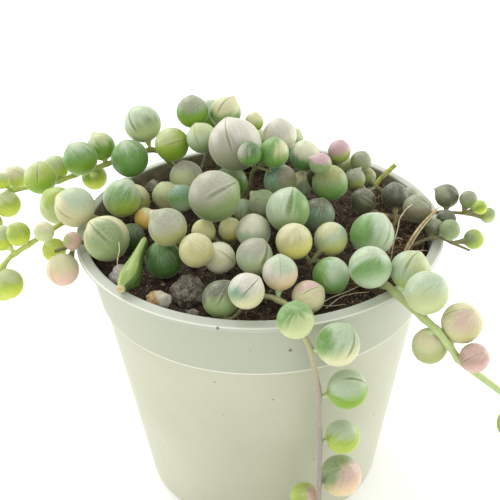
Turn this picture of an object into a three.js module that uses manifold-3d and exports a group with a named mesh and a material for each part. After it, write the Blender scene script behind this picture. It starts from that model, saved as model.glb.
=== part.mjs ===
// A variegated string of pearls in a 9 cm nursery pot: the pot, its soil and stones, and the plant's
// stems with their round leaves, the "pearls". Millimetres, +Z up. The origin is the centre of the
// pot's underside. -Y is the front, +X the right.

import * as THREE from 'three';
import { mergeVertices } from 'three/addons/utils/BufferGeometryUtils.js';
import Module from 'manifold-3d';

const wasm = await Module();
wasm.setup();

// ---------------------------------------------------------------- driving dimensions

const POT_HEIGHT = 72;
const POT_BASE_RADIUS = 30.8;
const POT_BAND_HEIGHT = 16.2;       // the straight-looking band under the lip
const POT_LEDGE = 0.8;              // step from the band in to the wall
const POT_BAND_BOTTOM_RADIUS = 40.4;
const POT_BAND_TOP_RADIUS = 43;
const POT_LIP_RADIUS = 45;
const LIP_EDGE = 1;                 // height of the lip's outer edge
const LIP_SLOPE = 0.6;              // how far the lip's top falls outwards
const POT_WALL = 1;
const POT_FLOOR = 1.5;
const BEVEL = 0.6;                  // how far the base's edge and the lip's inner edge are eased
const BEVEL_RISE = 0.8;
const LEDGE_RISE = 0.5;
const FLOOR_FLARE = 0.2;            // the inside is this much wider at the floor's top
const POT_SIDES = 36;
const DRAIN_HOLES = 8;
const DRAIN_RADIUS = 2.6;
const DRAIN_RING_RADIUS = 24;
const DRAIN_SIDES = 8;

const SOIL_LEVEL = 68.1;            // mean height of the soil, about 4 mm below the lip
const SOIL_BUMP = 0.35;
const SOIL_EDGE_DROP = 0.6;         // the soil's rim lies this much lower
const SOIL_RINGS = [35, 24, 12, 0]; // radii of the rings of corners in its top
const GAP = 0.3;                    // air between pieces that touch on the real thing
const FOOTING = [-6, -2.4, 1.2];    // heights of a stem's first points above the soil

const STEM_RADIUS = 0.75;
const STEM_SIDES = 5;
const STEM_STEP = 2.4;              // spacing of the points that a stem settles by
const TUBE_STEP = 4.4;              // spacing of the joints of its tube
const TWIG_STEP = 3;
const STALK_RADIUS = 0.7;           // where the stalk meets its pearl
const STALK_SUNK = 0.5;
const STALK = 0.9;                  // stalk between a stem and the skin of its pearl
const TAIL_STALK = 1.2;             // the same for a pearl of a tail
const TIP_LENGTH = 0.1;             // a pearl's point, as a share of its radius
const TIP_JITTER = 0.25;            // how far an upright point may lean by chance
const SPLAY_ACROSS = 70;            // its lean outwards is its pearl's place over these lengths
const SPLAY_ALONG = 90;
const VIEW_PITCH = 31;              // degrees above level of the view that the hours are given for
// Facets round a pearl and rings up it, for pearls from each diameter up.
const PEARL_FACETS = [[10, 9, 6], [6.5, 7, 5], [0, 6, 4]];

const CLEAR = 0.35;                 // room between strands, and from pearls to the pot and soil
const STEM_CLEAR = 1.0;             // room from a stem to the pot and soil
const TOUCH = 0.05;                 // room between two pearls of one strand
const HOLE_SIDES = 6;
const HOLE_ROOM = 0.7;              // room round a stem in its hole in the soil
const HOLE_RISE = 2;                // how far above the soil the cut of a hole reaches
const FLOOR_CLEAR = 0.2;            // a stem lying on the floor leaves the weight to the pot
const PEARL_PASSES = 160;
const STEM_PASSES = 260;
const LAST_PASSES = 60;             // passes at the end that only push clear
const SMOOTHING = 0.35;             // share of the way to the middle of its neighbours
const PULL = 0.5;                   // share of the way to its pearl
const TIP_SIDE = 0.5;               // how far a pearl's point decides the side its stem is on
const GOLDEN_ANGLE = 2.4;           // radians from one leaf to the next round a stem
const TURN_JITTER = 0.5;
const TAIL_START = 0.6;             // gap before a tail's first pearl, in gaps between pearls
const LAID_FLAT = 0.3;              // how much the pearls beside a stem on the floor still rise
const DROOP = 0.3;                  // how much the points of a tail's pearls hang
const SEED = 11;

const STONE_WEAR = 0.14;            // how far a stone's corners may lie inside its ellipsoid
const LEAF_RINGS = 7;
const LEAF_SIDES = 8;
const LEAF_BALLS = 5;               // balls that stand for the fallen leaf while the pearls settle
const TWIG_BALLS = 8;               // and gaps between those that stand for each loose twig
const TWIG_ROOM = 0.3;
const MERGE = 1e-4;
const ROUGHNESS = { pot: 0.45, soil: 0.95, stone: 0.9, dry: 0.8, leaf: 0.45 };

// ---------------------------------------------------------------- the plant, strand by strand

// A strand lists its pearls from the soil outward as [x, y, z, diameter, hour]. The hour is where the
// pearl's point shows, as on a clock face seen from the front and above; without one it points up.
// root is where the stem stands in the soil. stem is its route where it shows; elsewhere it runs
// under its pearls. tail grows more pearls along the last stretch of the route.
const STRANDS = [
  {
    name: 'left_high', color: '#8fb35a', root: [-20, 31],
    stem: [[-22, 28, 76], [-26.5, 26.5, 79], [-32, 27.5, 75.5], [-38, 25.5, 75], [-42.5, 20.5, 75.5],
      [-47, 17.5, 75.5], [-52, 17.5, 74.5], [-57, 17.5, 74], [-63, 18, 73], [-68, 18, 71],
      [-74, 18, 66], [-79, 17.5, 58], [-82, 17, 49], [-83, 16, 40]],
    pearls: [[-22, 22.5, 83, 9, 2.5], [-30, 29, 85.5, 10, 11], [-33, 23, 79.5, 10],
      [-41, 27.5, 80.5, 7.5, 11], [-43.5, 26.5, 72, 7], [-45.5, 19.5, 81, 9], [-53, 23.5, 76.5, 7, 5],
      [-55.5, 15, 78, 8.5, 0], [-64, 24.5, 73.5, 6.5], [-66.5, 19, 75.5, 4.5], [-66, 16, 69, 7]],
    tail: { from: [-68, 18, 71], count: 6, first: 7, last: 4 },
  },
  {
    name: 'left_low', color: '#a3b86b', root: [-34.5, 6],
    stem: [[-37, 4, 72.5], [-41.5, 0.5, 73.5], [-46, -2.5, 73.5], [-50, -4, 73], [-54.5, -6, 71],
      [-58.5, -8, 68], [-63.5, -8.5, 65], [-70, -9, 58], [-74.5, -9.5, 49], [-77, -9, 39], [-78, -8, 30]],
    pearls: [[-44.5, -2, 78.5, 10, 10], [-50, 5.5, 75, 9.5], [-51, -10, 76.5, 5], [-50, -6, 69, 6],
      [-58, -6.5, 74, 6], [-63, -3, 71, 6.5], [-61, -11.5, 63, 7.5]],
    tail: { from: [-63.5, -8.5, 65], count: 6, first: 7, last: 4 },
  },
  {
    name: 'left_side', color: '#bfc39a', root: [-34, -7],
    stem: [[-37, -8.5, 71], [-41, -10, 73.5], [-45, -11.5, 73.5], [-48.5, -13, 72.5]],
    pearls: [[-36, -13.5, 76, 11, 10.5], [-44, -13, 75.5, 4.5, 6], [-46.5, -15, 69, 8]],
  },
  {
    name: 'left_inner', color: '#8dac74', root: [-29, 6],
    pearls: [[-33.5, 2, 78.5, 9.5, 1], [-31.5, 10, 73.5, 8.5], [-28, 0.5, 73.5, 5.5],
      [-31, -5.5, 72, 6.5]],
  },
  {
    name: 'front_trail', color: '#93b56c', root: [-3, -28],
    stem: [[-1, -30, 70.5], [3, -36, 73.5], [7, -43, 75.5], [8.5, -48, 73], [10, -48.5, 67],
      [13, -47, 55], [13.5, -45.5, 45], [13.5, -44, 36], [13.5, -42.5, 25], [13, -42, 14],
      [11, -43.5, 5], [7, -47, 2], [1, -51, 1.6], [-6, -53, 1.5], [-13, -52.5, 1.5]],
    pearls: [[4, -32.5, 77.5, 8, 0], [10, -35.5, 73, 7.5, 2], [6.5, -50, 77, 8],
      [15.5, -48.5, 69.5, 9.5, 1], [18, -46.5, 56, 9, 3], [17.5, -44, 40.5, 8, 2],
      [17.5, -42, 27, 10], [9, -42, 20.5, 7]],
    tail: { from: [13, -42, 14], count: 7, first: 7, last: 4, onFloor: true },
  },
  {
    name: 'right_trail', color: '#9dbb7c', root: [22, -24], stemRadius: 0.95,
    stem: [[23.5, -28, 71.5], [26, -34, 74], [31, -38.5, 74.5], [35.5, -43, 72.5], [40, -47.5, 68.5],
      [45, -50.5, 65], [49.5, -52.5, 62], [55, -54.5, 57], [59.5, -56, 49], [61.5, -56.5, 39],
      [62, -56, 30]],
    pearls: [[25.5, -17, 77.5, 10.5, 1], [23.5, -33.5, 79, 9.5], [32.5, -32, 77, 9, 1],
      [34.5, -42.5, 78, 9.5], [35.5, -45, 66, 8], [42, -45, 71.5, 9], [44, -50, 66.5, 6.5]],
    tail: { from: [55, -54.5, 57], count: 6, first: 7, last: 4 },
  },
  {
    name: 'far_right', color: '#727a5c', root: [33, 0], stemRadius: 0.55,
    stem: [[35, -1, 71.5], [38, -2, 73.5], [42, -3.5, 75], [47, -5, 76], [50, -6, 76], [53, -6, 75.5]],
    pearls: [[34, 6, 75, 7, 0], [38.5, -6.5, 77, 7, 4], [46, 0, 78, 6, 10], [44.5, -6, 74.5, 5],
      [50.5, -2, 78, 4.5], [52.5, -7, 78.5, 3.5], [55.5, -3, 74, 4]],
  },
  {
    name: 'far_low', color: '#6f7d5a', root: [35, -10], stemRadius: 0.55,
    stem: [[37, -11, 71], [41, -13, 74], [46, -14, 73.5], [49.5, -13.5, 70.5]],
    pearls: [[40.5, -9, 74.5, 4.5], [44.5, -13, 76, 5], [51, -10, 71.5, 5]],
  },
  {
    name: 'right_dark', color: '#575d49', root: [29, 10],
    pearls: [[26, 5, 74.5, 6.5, 4], [24.5, 12, 77, 5.5, 1], [28.5, 18, 74.5, 4.5],
      [38.5, 10, 73, 4.5, 0]],
  },
  {
    name: 'pink_back', color: '#b7a292', root: [18, 12],
    pearls: [[17.5, 5, 79.5, 9, 4], [15, 1, 87, 5.5, 10], [12, 14, 83, 8], [21, 18, 82, 6],
      [26.5, 17, 79.5, 5.5], [23.5, 20.5, 76, 4.5]],
  },
  {
    name: 'back_ridge', color: '#8eae6d', root: [-10, 24],
    pearls: [[-14, 19.5, 86, 8], [-16.5, 27, 90, 8.5, 0], [-8, 28, 89, 8.5, 1], [-0.5, 26.5, 87, 5],
      [6, 24, 84, 9]],
  },
  {
    name: 'crown_white', color: '#c3c2ae', root: [-3, 10],
    pearls: [[-5.5, 12, 87.5, 13.5, 11.5], [-2, 2.5, 89.5, 6, 0], [4, 5.5, 88, 7.5, 0]],
  },
  {
    name: 'crown_grey', color: '#99a184', root: [-9, 9],
    pearls: [[-7, 15.5, 75, 9], [-4, 2, 74.5, 5.5], [-10.5, -7.5, 83.5, 12.5, 2], [-19, 4, 77, 7],
      [-23.5, 12, 73.5, 7.5], [-18.5, 19, 75, 9]],
  },
  {
    name: 'crown_green', color: '#8ba585', root: [4, -5],
    pearls: [[6.5, -11.5, 81.5, 10.5, 0.5], [1, -2.5, 78.5, 7, 10.5], [14.5, -1, 74.5, 8.5, 0.5],
      [5.5, 6.5, 80, 8.5, 5.5], [11, 13, 75.5, 6.5]],
  },
  {
    name: 'front_pale', color: '#c2c383', root: [-16, -15],
    pearls: [[-23, -18, 73, 9], [-21, -19, 82, 9, 10.5], [-14.5, -24.5, 79, 8],
      [-9.5, -20.5, 74.5, 7.5, 4], [-13.5, -6.5, 73.5, 6], [-7, -6, 73.5, 6]],
  },
  {
    name: 'front_white', color: '#bcc7ab', root: [-3, -17],
    pearls: [[-1.5, -11.5, 76, 8.5], [-1.5, -24.5, 77, 8.5, 1], [-3.5, -39.5, 77.5, 8, 1.5],
      [-9, -35.5, 73, 8.5, 1]],
  },
  {
    name: 'front_yellow', color: '#ccce93', root: [12, -23],
    pearls: [[7.5, -22.5, 79.5, 8.5], [16.5, -17.5, 77, 8], [15.5, -28.5, 74, 8.5, 5]],
  },
  {
    name: 'back_creeper', color: '#86a365', root: [8, 30],
    stem: [[6, 33, 71.5], [3, 35.5, 72.5], [-1, 37, 73], [-5, 36.5, 73.5]],
    pearls: [],
    tail: { from: [6, 33, 71.5], count: 5, first: 8, last: 6 },
  },
  {
    name: 'back_trail', color: '#84a25c', root: [-15, 34],
    stem: [[-14, 37, 72], [-12, 41, 75], [-10, 45.5, 76.5], [-8.5, 49, 74], [-8, 49.5, 66], [-8, 48, 56],
      [-9, 46, 45], [-9.5, 44.5, 34], [-9, 44, 25]],
    pearls: [],
    tail: { from: [-12, 41, 75], count: 10, first: 8.5, last: 4 },
  },
];

// Stones lie half sunk in the soil: [x, y, z, x size, y size, z size].
const STONES = [
  { name: 'pumice_large', color: '#7d7062', place: [-16.5, -28, 70.2], size: [9, 8, 8.4] },
  { name: 'pumice_dark', color: '#4d463c', place: [-8.5, -27.5, 69], size: [6, 5, 5] },
  { name: 'stone_lilac', color: '#aba5a5', place: [-32, -19, 69.1], size: [8, 6.5, 6.5] },
  { name: 'stone_amber', color: '#c4ab8a', place: [-23.2, -31, 70], size: [6.4, 4.6, 5.2] },
  { name: 'grit_front', color: '#6d685e', place: [-15.5, -34.8, 68.6], size: [3.6, 2.8, 2.8] },
  { name: 'grit_back', color: '#8c8579', place: [-28, 27, 68.3], size: [5, 6, 4] },
  { name: 'grit_right', color: '#8d877c', place: [36, 14.5, 68.3], size: [5, 4, 3.6] },
  { name: 'grit_far', color: '#75695a', place: [12, 33, 68.4], size: [6, 5, 4] },
];

// Loose and dead pieces of the plant: their centre lines and radii.
const OLD_STEM = [[28.5, 8.5, 69.5], [31.5, 6, 69.5], [35.5, 5, 69.5], [39.5, 3.5, 69.5]];
const CUT_STEM = [[30.5, 22, 65], [31, 22.5, 69], [33.5, 23.5, 72], [36.5, 24.5, 74.5]];
const DRY_ROOT = [[33.5, -13.5, 64], [34, -13, 69], [36, -12.5, 73.5], [39.5, -10.5, 77],
  [43.5, -9.5, 80.5]];
const TWIGS = [
  { name: 'old_stem', color: '#8a8474', route: OLD_STEM, radius: 0.8 },
  { name: 'cut_stem', color: '#b3b45c', route: CUT_STEM, radius: 0.65 },
  { name: 'dry_root', color: '#cdb48c', route: DRY_ROOT, radius: 0.4 },
];
const FALLEN_LEAF = { scar: [-30.8, -29.4, 74.1], top: [-27.6, -14.6, 77], radius: 2.7 };

// ---------------------------------------------------------------- small helpers

const vector = ([x, y, z]) => new THREE.Vector3(x, y, z);
const spline = (points) => new THREE.CatmullRomCurve3(points, false, 'centripetal');
const ACROSS = new THREE.Vector3(1, 0, 0);
const pitch = THREE.MathUtils.degToRad(VIEW_PITCH);
const UP_IN_VIEW = new THREE.Vector3(0, Math.sin(pitch), Math.cos(pitch));
const LATHE_AXIS = new THREE.Vector3(0, 1, 0);

// A repeatable stream of numbers from 0 to 1.
function seeded(seed) {
  let state = seed;
  return () => {
    state = (state * 16807) % 2147483647;
    return state / 2147483647;
  };
}

// A closed geometry as a solid whose faces point out.
function solidOf(geometry) {
  const bare = geometry.clone();
  for (const name of Object.keys(bare.attributes)) {
    if (name !== 'position') bare.deleteAttribute(name);
  }
  const merged = mergeVertices(bare, MERGE);
  const corners = merged.attributes.position;
  const faces = Uint32Array.from(merged.index.array);
  const solid = (order) => new wasm.Manifold(new wasm.Mesh({
    numProp: 3, vertProperties: Float32Array.from(corners.array), triVerts: order }));
  if (signedVolume(corners, faces) > 0) return solid(faces);
  const turned = faces.slice();
  for (let i = 0; i < turned.length; i += 3) [turned[i], turned[i + 1]] = [turned[i + 1], turned[i]];
  return solid(turned);
}

function signedVolume(corners, faces) {
  const [a, b, c] = [new THREE.Vector3(), new THREE.Vector3(), new THREE.Vector3()];
  let volume = 0;
  for (let i = 0; i < faces.length; i += 3) {
    a.fromBufferAttribute(corners, faces[i]);
    b.fromBufferAttribute(corners, faces[i + 1]);
    c.fromBufferAttribute(corners, faces[i + 2]);
    volume += a.dot(b.cross(c)) / 6;
  }
  return volume;
}

const joined = (solids) => solids.reduce((whole, next) => whole.add(next));
const cutBy = (solid, cutters) => cutters.reduce((left, cutter) => left.subtract(cutter), solid);

function geometryOf(solid) {
  const { vertProperties, triVerts } = solid.getMesh();
  const geometry = new THREE.BufferGeometry();
  geometry.setAttribute('position', new THREE.BufferAttribute(vertProperties, 3));
  geometry.setIndex(new THREE.BufferAttribute(triVerts, 1));
  geometry.computeVertexNormals();
  return geometry;
}

// ---------------------------------------------------------------- pot and soil shapes

const LEDGE_HEIGHT = POT_HEIGHT - POT_BAND_HEIGHT;
const WALL_TOP_RADIUS = POT_BAND_BOTTOM_RADIUS - POT_LEDGE;
const LIP_BOTTOM = POT_HEIGHT - LIP_SLOPE - LIP_EDGE;

// The pot's half section as [radius, height]: along its underside, up the wall and over the lip, then
// down the inside to the floor.
const POT_INSIDE = [
  [POT_BAND_TOP_RADIUS - POT_WALL, LIP_BOTTOM - BEVEL],
  [POT_BAND_BOTTOM_RADIUS - POT_WALL, LEDGE_HEIGHT],
  [WALL_TOP_RADIUS - POT_WALL, LEDGE_HEIGHT - 2 * LEDGE_RISE],
  [POT_BASE_RADIUS - POT_WALL + FLOOR_FLARE, POT_FLOOR],
];
const POT_OUTLINE = [
  [0, 0],
  [POT_BASE_RADIUS - BEVEL, 0],
  [POT_BASE_RADIUS, BEVEL_RISE],
  [WALL_TOP_RADIUS, LEDGE_HEIGHT - LEDGE_RISE],
  [POT_BAND_BOTTOM_RADIUS, LEDGE_HEIGHT],
  [POT_BAND_TOP_RADIUS, LIP_BOTTOM],
  [POT_LIP_RADIUS, LIP_BOTTOM],
  [POT_LIP_RADIUS, LIP_BOTTOM + LIP_EDGE],
  [POT_BAND_TOP_RADIUS - BEVEL, POT_HEIGHT],
  ...POT_INSIDE,
  [0, POT_FLOOR],
];

// The inside of the pot's wall, which the soil fills.
function innerRadius(height) {
  for (let i = 0; i + 1 < POT_INSIDE.length; i += 1) {
    const [upperRadius, upper] = POT_INSIDE[i];
    const [lowerRadius, lower] = POT_INSIDE[i + 1];
    const share = (height - lower) / (upper - lower);
    if (share >= 0) return lowerRadius + (upperRadius - lowerRadius) * share;
  }
  return POT_INSIDE[POT_INSIDE.length - 1][0];
}

// The soil's surface: level, with two sets of low waves that cross.
function soilTop(x, y) {
  const waves = Math.sin(0.41 * x + 1.3) * Math.cos(0.37 * y) + 0.6 * Math.sin(0.93 * y + 0.7 * x);
  return SOIL_LEVEL + SOIL_BUMP * waves / 1.6;
}

// The push that takes a ball out of the pot's wall, or null when it is clear.
function pushFromPot(centre, reach) {
  const radius = Math.hypot(centre.x, centre.y);
  let nearest = null;
  for (let i = 1; i + 2 < POT_OUTLINE.length; i += 1) {
    const [r0, z0] = POT_OUTLINE[i];
    const [r1, z1] = POT_OUTLINE[i + 1];
    const length = Math.hypot(r1 - r0, z1 - z0);
    const along = ((radius - r0) * (r1 - r0) + (centre.z - z0) * (z1 - z0)) / length ** 2;
    const t = Math.min(1, Math.max(0, along));
    const dr = radius - (r0 + t * (r1 - r0));
    const dz = centre.z - (z0 + t * (z1 - z0));
    const distance = Math.hypot(dr, dz);
    if (!nearest || distance < nearest.distance) nearest = { dr, dz, distance };
  }
  if (nearest.distance >= reach || nearest.distance === 0) return null;
  const share = (reach - nearest.distance) / nearest.distance;
  const outward = nearest.dr * share / radius;
  return new THREE.Vector3(centre.x * outward, centre.y * outward, nearest.dz * share);
}

// ---------------------------------------------------------------- where the pearls settle

// Pearls set round the last stretch of a stem, each turned on from the one before, as on such a plant.
// Those of a stem that lies on the floor are set to its left and right in turn.
function tailPearls(strand, random) {
  const { from, count, first, last, onFloor } = strand.tail;
  const start = strand.stem.findIndex((p) => p.every((value, i) => value === from[i]));
  const route = spline(strand.stem.slice(start).map(vector));
  let turn = random() * Math.PI * 2;
  return Array.from({ length: count }, (_, i) => {
    const along = (i + TAIL_START) / (count - 1 + TAIL_START);
    const point = route.getPointAt(along);
    const ahead = route.getTangentAt(along);
    const side = new THREE.Vector3(0, 0, 1).cross(ahead).normalize();
    const lift = ahead.clone().cross(side);
    turn += onFloor ? Math.PI : GOLDEN_ANGLE + TURN_JITTER * random();
    const rise = Math.sin(turn) * (onFloor ? LAID_FLAT : 1);
    const way = side.multiplyScalar(Math.cos(turn)).addScaledVector(lift, rise).normalize();
    const radius = THREE.MathUtils.lerp(first, last, i / (count - 1)) / 2;
    const centre = point.addScaledVector(way, radius + TAIL_STALK);
    const tip = way.clone().add(new THREE.Vector3(0, 0, -DROOP)).normalize();
    return { centre, radius, tip };
  });
}

// Pearls and balls that stand for stones push each other apart until each has its own room.
function settlePearls(pearls, obstacles) {
  const push = pearls.map(() => new THREE.Vector3());
  const away = new THREE.Vector3();
  for (let pass = 0; pass < PEARL_PASSES; pass += 1) {
    push.forEach((p) => p.set(0, 0, 0));
    for (let i = 0; i < pearls.length; i += 1) {
      const { centre, radius, strand } = pearls[i];
      for (let j = i + 1; j < pearls.length; j += 1) {
        const room = radius + pearls[j].radius + (strand === pearls[j].strand ? TOUCH : CLEAR);
        away.subVectors(centre, pearls[j].centre);
        const distance = away.length();
        if (distance < room) {
          away.multiplyScalar((room - distance) / 2 / distance);
          push[i].add(away);
          push[j].sub(away);
        }
      }
      for (const ball of obstacles) {
        const room = radius + ball.radius + CLEAR;
        away.subVectors(centre, ball.centre);
        const distance = away.length();
        if (distance < room) push[i].addScaledVector(away, (room - distance) / distance);
      }
      keepClearOfPot(centre, radius, CLEAR, push[i]);
    }
    pearls.forEach((pearl, i) => pearl.centre.add(push[i]));
  }
}

// Adds the pushes that keep a ball out of the pot's wall and above the soil and the floor.
function keepClearOfPot(centre, radius, room, push) {
  const fromPot = pushFromPot(centre, radius + room);
  if (fromPot) push.add(fromPot);
  const inPot = Math.hypot(centre.x, centre.y) < POT_BAND_TOP_RADIUS && centre.z > LEDGE_HEIGHT;
  const lowest = (inPot ? soilTop(centre.x, centre.y) + room : FLOOR_CLEAR) + radius;
  if (centre.z < lowest) push.z += lowest - centre.z;
}

// ---------------------------------------------------------------- where the stems settle

// A stem's first route: up out of the soil, then along its given points or under its pearls.
function firstRoute(strand, pearls) {
  const [x, y] = strand.root;
  const footing = FOOTING.map((rise) => new THREE.Vector3(x, y, soilTop(x, y) + rise));
  const onward = strand.stem ? strand.stem.map(vector) : pearls.map((pearl) => {
    const over = pearl.tip.clone().multiplyScalar(TIP_SIDE).add(new THREE.Vector3(0, 0, 1)).normalize();
    return pearl.centre.clone().addScaledVector(over, -(pearl.radius + STALK + STEM_RADIUS));
  });
  const above = spline([footing.pop(), ...onward]);
  const steps = Math.max(FOOTING.length, Math.round(above.getLength() / STEM_STEP));
  return [...footing, ...above.getSpacedPoints(steps)];
}

// Every stem is drawn towards its pearls and smoothed, and pushed clear of all that isn't its own.
function settleStems(stems, pearls, obstacles) {
  const away = new THREE.Vector3();
  for (let pass = 0; pass < STEM_PASSES; pass += 1) {
    const drawn = pass < STEM_PASSES - LAST_PASSES;
    for (const stem of stems) {
      stem.push = stem.points.map(() => new THREE.Vector3());
      stem.points.forEach((point, i) => {
        if (i < FOOTING.length) return;
        const push = stem.push[i];
        const next = stem.points[i + 1];
        if (drawn && next) {
          away.addVectors(stem.points[i - 1], next).multiplyScalar(0.5).sub(point);
          push.addScaledVector(away, SMOOTHING);
        }
        for (const pearl of pearls) {
          const own = pearl.strand === stem.strand;
          const room = pearl.radius + stem.radius + (own ? 0 : CLEAR);
          away.subVectors(point, pearl.centre);
          const distance = away.length();
          if (distance < room) push.addScaledVector(away, (room - distance) / distance);
        }
        for (const ball of obstacles) {
          const room = ball.radius + stem.radius + CLEAR;
          away.subVectors(point, ball.centre);
          const distance = away.length();
          if (distance < room) push.addScaledVector(away, (room - distance) / distance);
        }
        for (const other of stems) {
          if (other === stem) continue;
          const room = stem.radius + other.radius + CLEAR;
          for (const neighbour of other.points) {
            away.subVectors(point, neighbour);
            const distance = away.length();
            if (distance < room) push.addScaledVector(away, (room - distance) / 2 / distance);
          }
        }
        keepClearOfPot(point, stem.radius, STEM_CLEAR, push);
      });
      if (drawn) {
        for (const pearl of pearls.filter((p) => p.strand === stem.strand)) {
          const nearest = nearestPoint(stem, pearl);
          if (nearest < FOOTING.length) continue;
          away.subVectors(pearl.centre, stem.points[nearest]);
          const slack = away.length() - (pearl.radius + stem.radius + STALK);
          if (slack > 0) stem.push[nearest].addScaledVector(away.normalize(), slack * PULL);
        }
      }
    }
    for (const stem of stems) stem.points.forEach((point, i) => point.add(stem.push[i]));
  }
}

function nearestPoint(stem, pearl) {
  let best = 0;
  stem.points.forEach((point, i) => {
    if (point.distanceTo(pearl.centre) < stem.points[best].distanceTo(pearl.centre)) best = i;
  });
  return best;
}

// ---------------------------------------------------------------- the shapes

function lathe(outline, sides) {
  const points = outline.map(([radius, height]) => new THREE.Vector2(radius, height));
  return new THREE.LatheGeometry(points, sides).rotateX(Math.PI / 2);
}

// A tube with the given number of sides, along a curve.
function tube(curve, radius, sides, steps) {
  const corners = Array.from({ length: sides }, (_, i) => {
    const angle = 2 * Math.PI * i / sides;
    return new THREE.Vector2(radius * Math.cos(angle), radius * Math.sin(angle));
  });
  const section = new THREE.Shape(corners);
  return new THREE.ExtrudeGeometry(section, { steps, bevelEnabled: false, extrudePath: curve });
}

function rod(from, to, radius, sides) {
  const along = new THREE.Vector3().subVectors(to, from);
  const geometry = new THREE.CylinderGeometry(radius, radius, along.length(), sides);
  geometry.applyQuaternion(new THREE.Quaternion().setFromUnitVectors(LATHE_AXIS, along.normalize()));
  const middle = new THREE.Vector3().addVectors(from, to).multiplyScalar(0.5);
  return geometry.translate(middle.x, middle.y, middle.z);
}

// A pearl: a ball that draws out to its point at one end and, sunk into the stem, its stalk at the
// other. It is turned on a lathe, then bent so that the two ends may face any way.
function pearlGeometry({ centre, radius, tip }, foot) {
  const [sides, rings] = PEARL_FACETS.find(([smallest]) => 2 * radius >= smallest).slice(1);
  const fromFoot = new THREE.Vector3().subVectors(centre, foot);
  const ball = Array.from({ length: rings - 1 }, (_, i) => {
    const angle = Math.PI * ((i + 1) / rings - 0.5);
    return [radius * Math.cos(angle), radius * Math.sin(angle)];
  });
  const outline = [[0, -fromFoot.length() - STALK_SUNK], [STALK_RADIUS, -radius], ...ball,
    [0, radius * (1 + TIP_LENGTH)]];
  const geometry = new THREE.LatheGeometry(outline.map((p) => new THREE.Vector2(...p)), sides);
  const straight = new THREE.Quaternion().setFromUnitVectors(LATHE_AXIS, fromFoot.normalize());
  const bend = new THREE.Quaternion().setFromUnitVectors(fromFoot, tip);
  const corners = geometry.attributes.position;
  const corner = new THREE.Vector3();
  const turn = new THREE.Quaternion();
  for (let i = 0; i < corners.count; i += 1) {
    corner.fromBufferAttribute(corners, i);
    const rise = 0.5 + Math.atan2(corner.y, Math.hypot(corner.x, corner.z)) / Math.PI;
    corner.applyQuaternion(straight).applyQuaternion(turn.identity().slerp(bend, rise)).add(centre);
    corners.setXYZ(i, ...corner);
  }
  return geometry;
}

// A stone: an ellipsoid with worn corners. swell makes the larger bed that it lies in.
function stoneGeometry({ place, size }, seed, swell = 0) {
  const random = seeded(seed);
  const geometry = mergeVertices(withoutSurface(new THREE.IcosahedronGeometry(1, 1)), MERGE);
  const corners = geometry.attributes.position;
  for (let i = 0; i < corners.count; i += 1) {
    const reach = 1 - STONE_WEAR + STONE_WEAR * random();
    const corner = new THREE.Vector3().fromBufferAttribute(corners, i).multiplyScalar(reach);
    corners.setXYZ(i, corner.x * (size[0] / 2 + swell), corner.y * (size[1] / 2 + swell),
      corner.z * (size[2] / 2 + swell));
  }
  return geometry.translate(...place);
}

function withoutSurface(geometry) {
  geometry.deleteAttribute('normal');
  geometry.deleteAttribute('uv');
  return geometry;
}

// The way that a pearl's point faces: by its hour, or else up with a lean outwards.
function tipOf(hour, centre, random) {
  const across = centre.x / SPLAY_ACROSS + TIP_JITTER * (2 * random() - 1);
  const along = centre.y / SPLAY_ALONG + TIP_JITTER * (2 * random() - 1);
  if (hour === undefined) return new THREE.Vector3(across, along, 1).normalize();
  const angle = 2 * Math.PI * hour / 12;
  return UP_IN_VIEW.clone().multiplyScalar(Math.cos(angle)).addScaledVector(ACROSS, Math.sin(angle));
}

// ---------------------------------------------------------------- settle the whole plant

const leafAxis = new THREE.LineCurve3(vector(FALLEN_LEAF.scar), vector(FALLEN_LEAF.top));
const leafBalls = Array.from({ length: LEAF_BALLS }, (_, i) => {
  const along = (i + 0.5) / LEAF_BALLS;
  return { centre: leafAxis.getPoint(along), radius: leafRadius(along) };
});
const stoneBalls = STONES.map(({ place, size }) => ({
  centre: vector(place), radius: (size[0] + size[1] + size[2]) / 6 }));
const twigBalls = TWIGS.flatMap(({ route, radius }) => (
  spline(route.map(vector)).getSpacedPoints(TWIG_BALLS)
    .map((centre) => ({ centre, radius: radius + TWIG_ROOM }))));
const obstacles = [...leafBalls, ...stoneBalls, ...twigBalls];

// The fallen leaf is a spindle, blunt at its scar and pointed at its top.
function leafRadius(along) {
  return FALLEN_LEAF.radius * Math.sin(Math.PI * Math.min(1, 0.12 + 0.9 * along)) ** 0.6;
}

const random = seeded(SEED);
const pearls = STRANDS.flatMap((strand) => {
  const listed = strand.pearls.map(([x, y, z, diameter, hour]) => {
    const centre = new THREE.Vector3(x, y, z);
    return { centre, radius: diameter / 2, tip: tipOf(hour, centre, random) };
  });
  const grown = strand.tail ? tailPearls(strand, random) : [];
  return [...listed, ...grown].map((pearl) => ({ ...pearl, strand: strand.name }));
});
settlePearls(pearls, obstacles);
const pearlsOf = (name) => pearls.filter((pearl) => pearl.strand === name);
const stems = STRANDS.map((strand) => ({
  strand: strand.name,
  radius: strand.stemRadius ?? STEM_RADIUS,
  points: firstRoute(strand, pearlsOf(strand.name)),
}));
settleStems(stems, pearls, obstacles);

// ---------------------------------------------------------------- the pieces

// A strand: its stem with each of its pearls set on the joint of the stem that lies nearest.
function strandSolid(stem) {
  const curve = spline(stem.points);
  const steps = Math.round(curve.getLength() / TUBE_STEP);
  const joints = curve.getSpacedPoints(steps);
  const stalked = pearlsOf(stem.strand).map((pearl) => {
    const byDistance = (a, b) => a.distanceTo(pearl.centre) - b.distanceTo(pearl.centre);
    return solidOf(pearlGeometry(pearl, joints.slice(1, -1).sort(byDistance)[0]));
  });
  return joined([solidOf(tube(curve, stem.radius, STEM_SIDES, steps)), ...stalked]);
}

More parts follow.
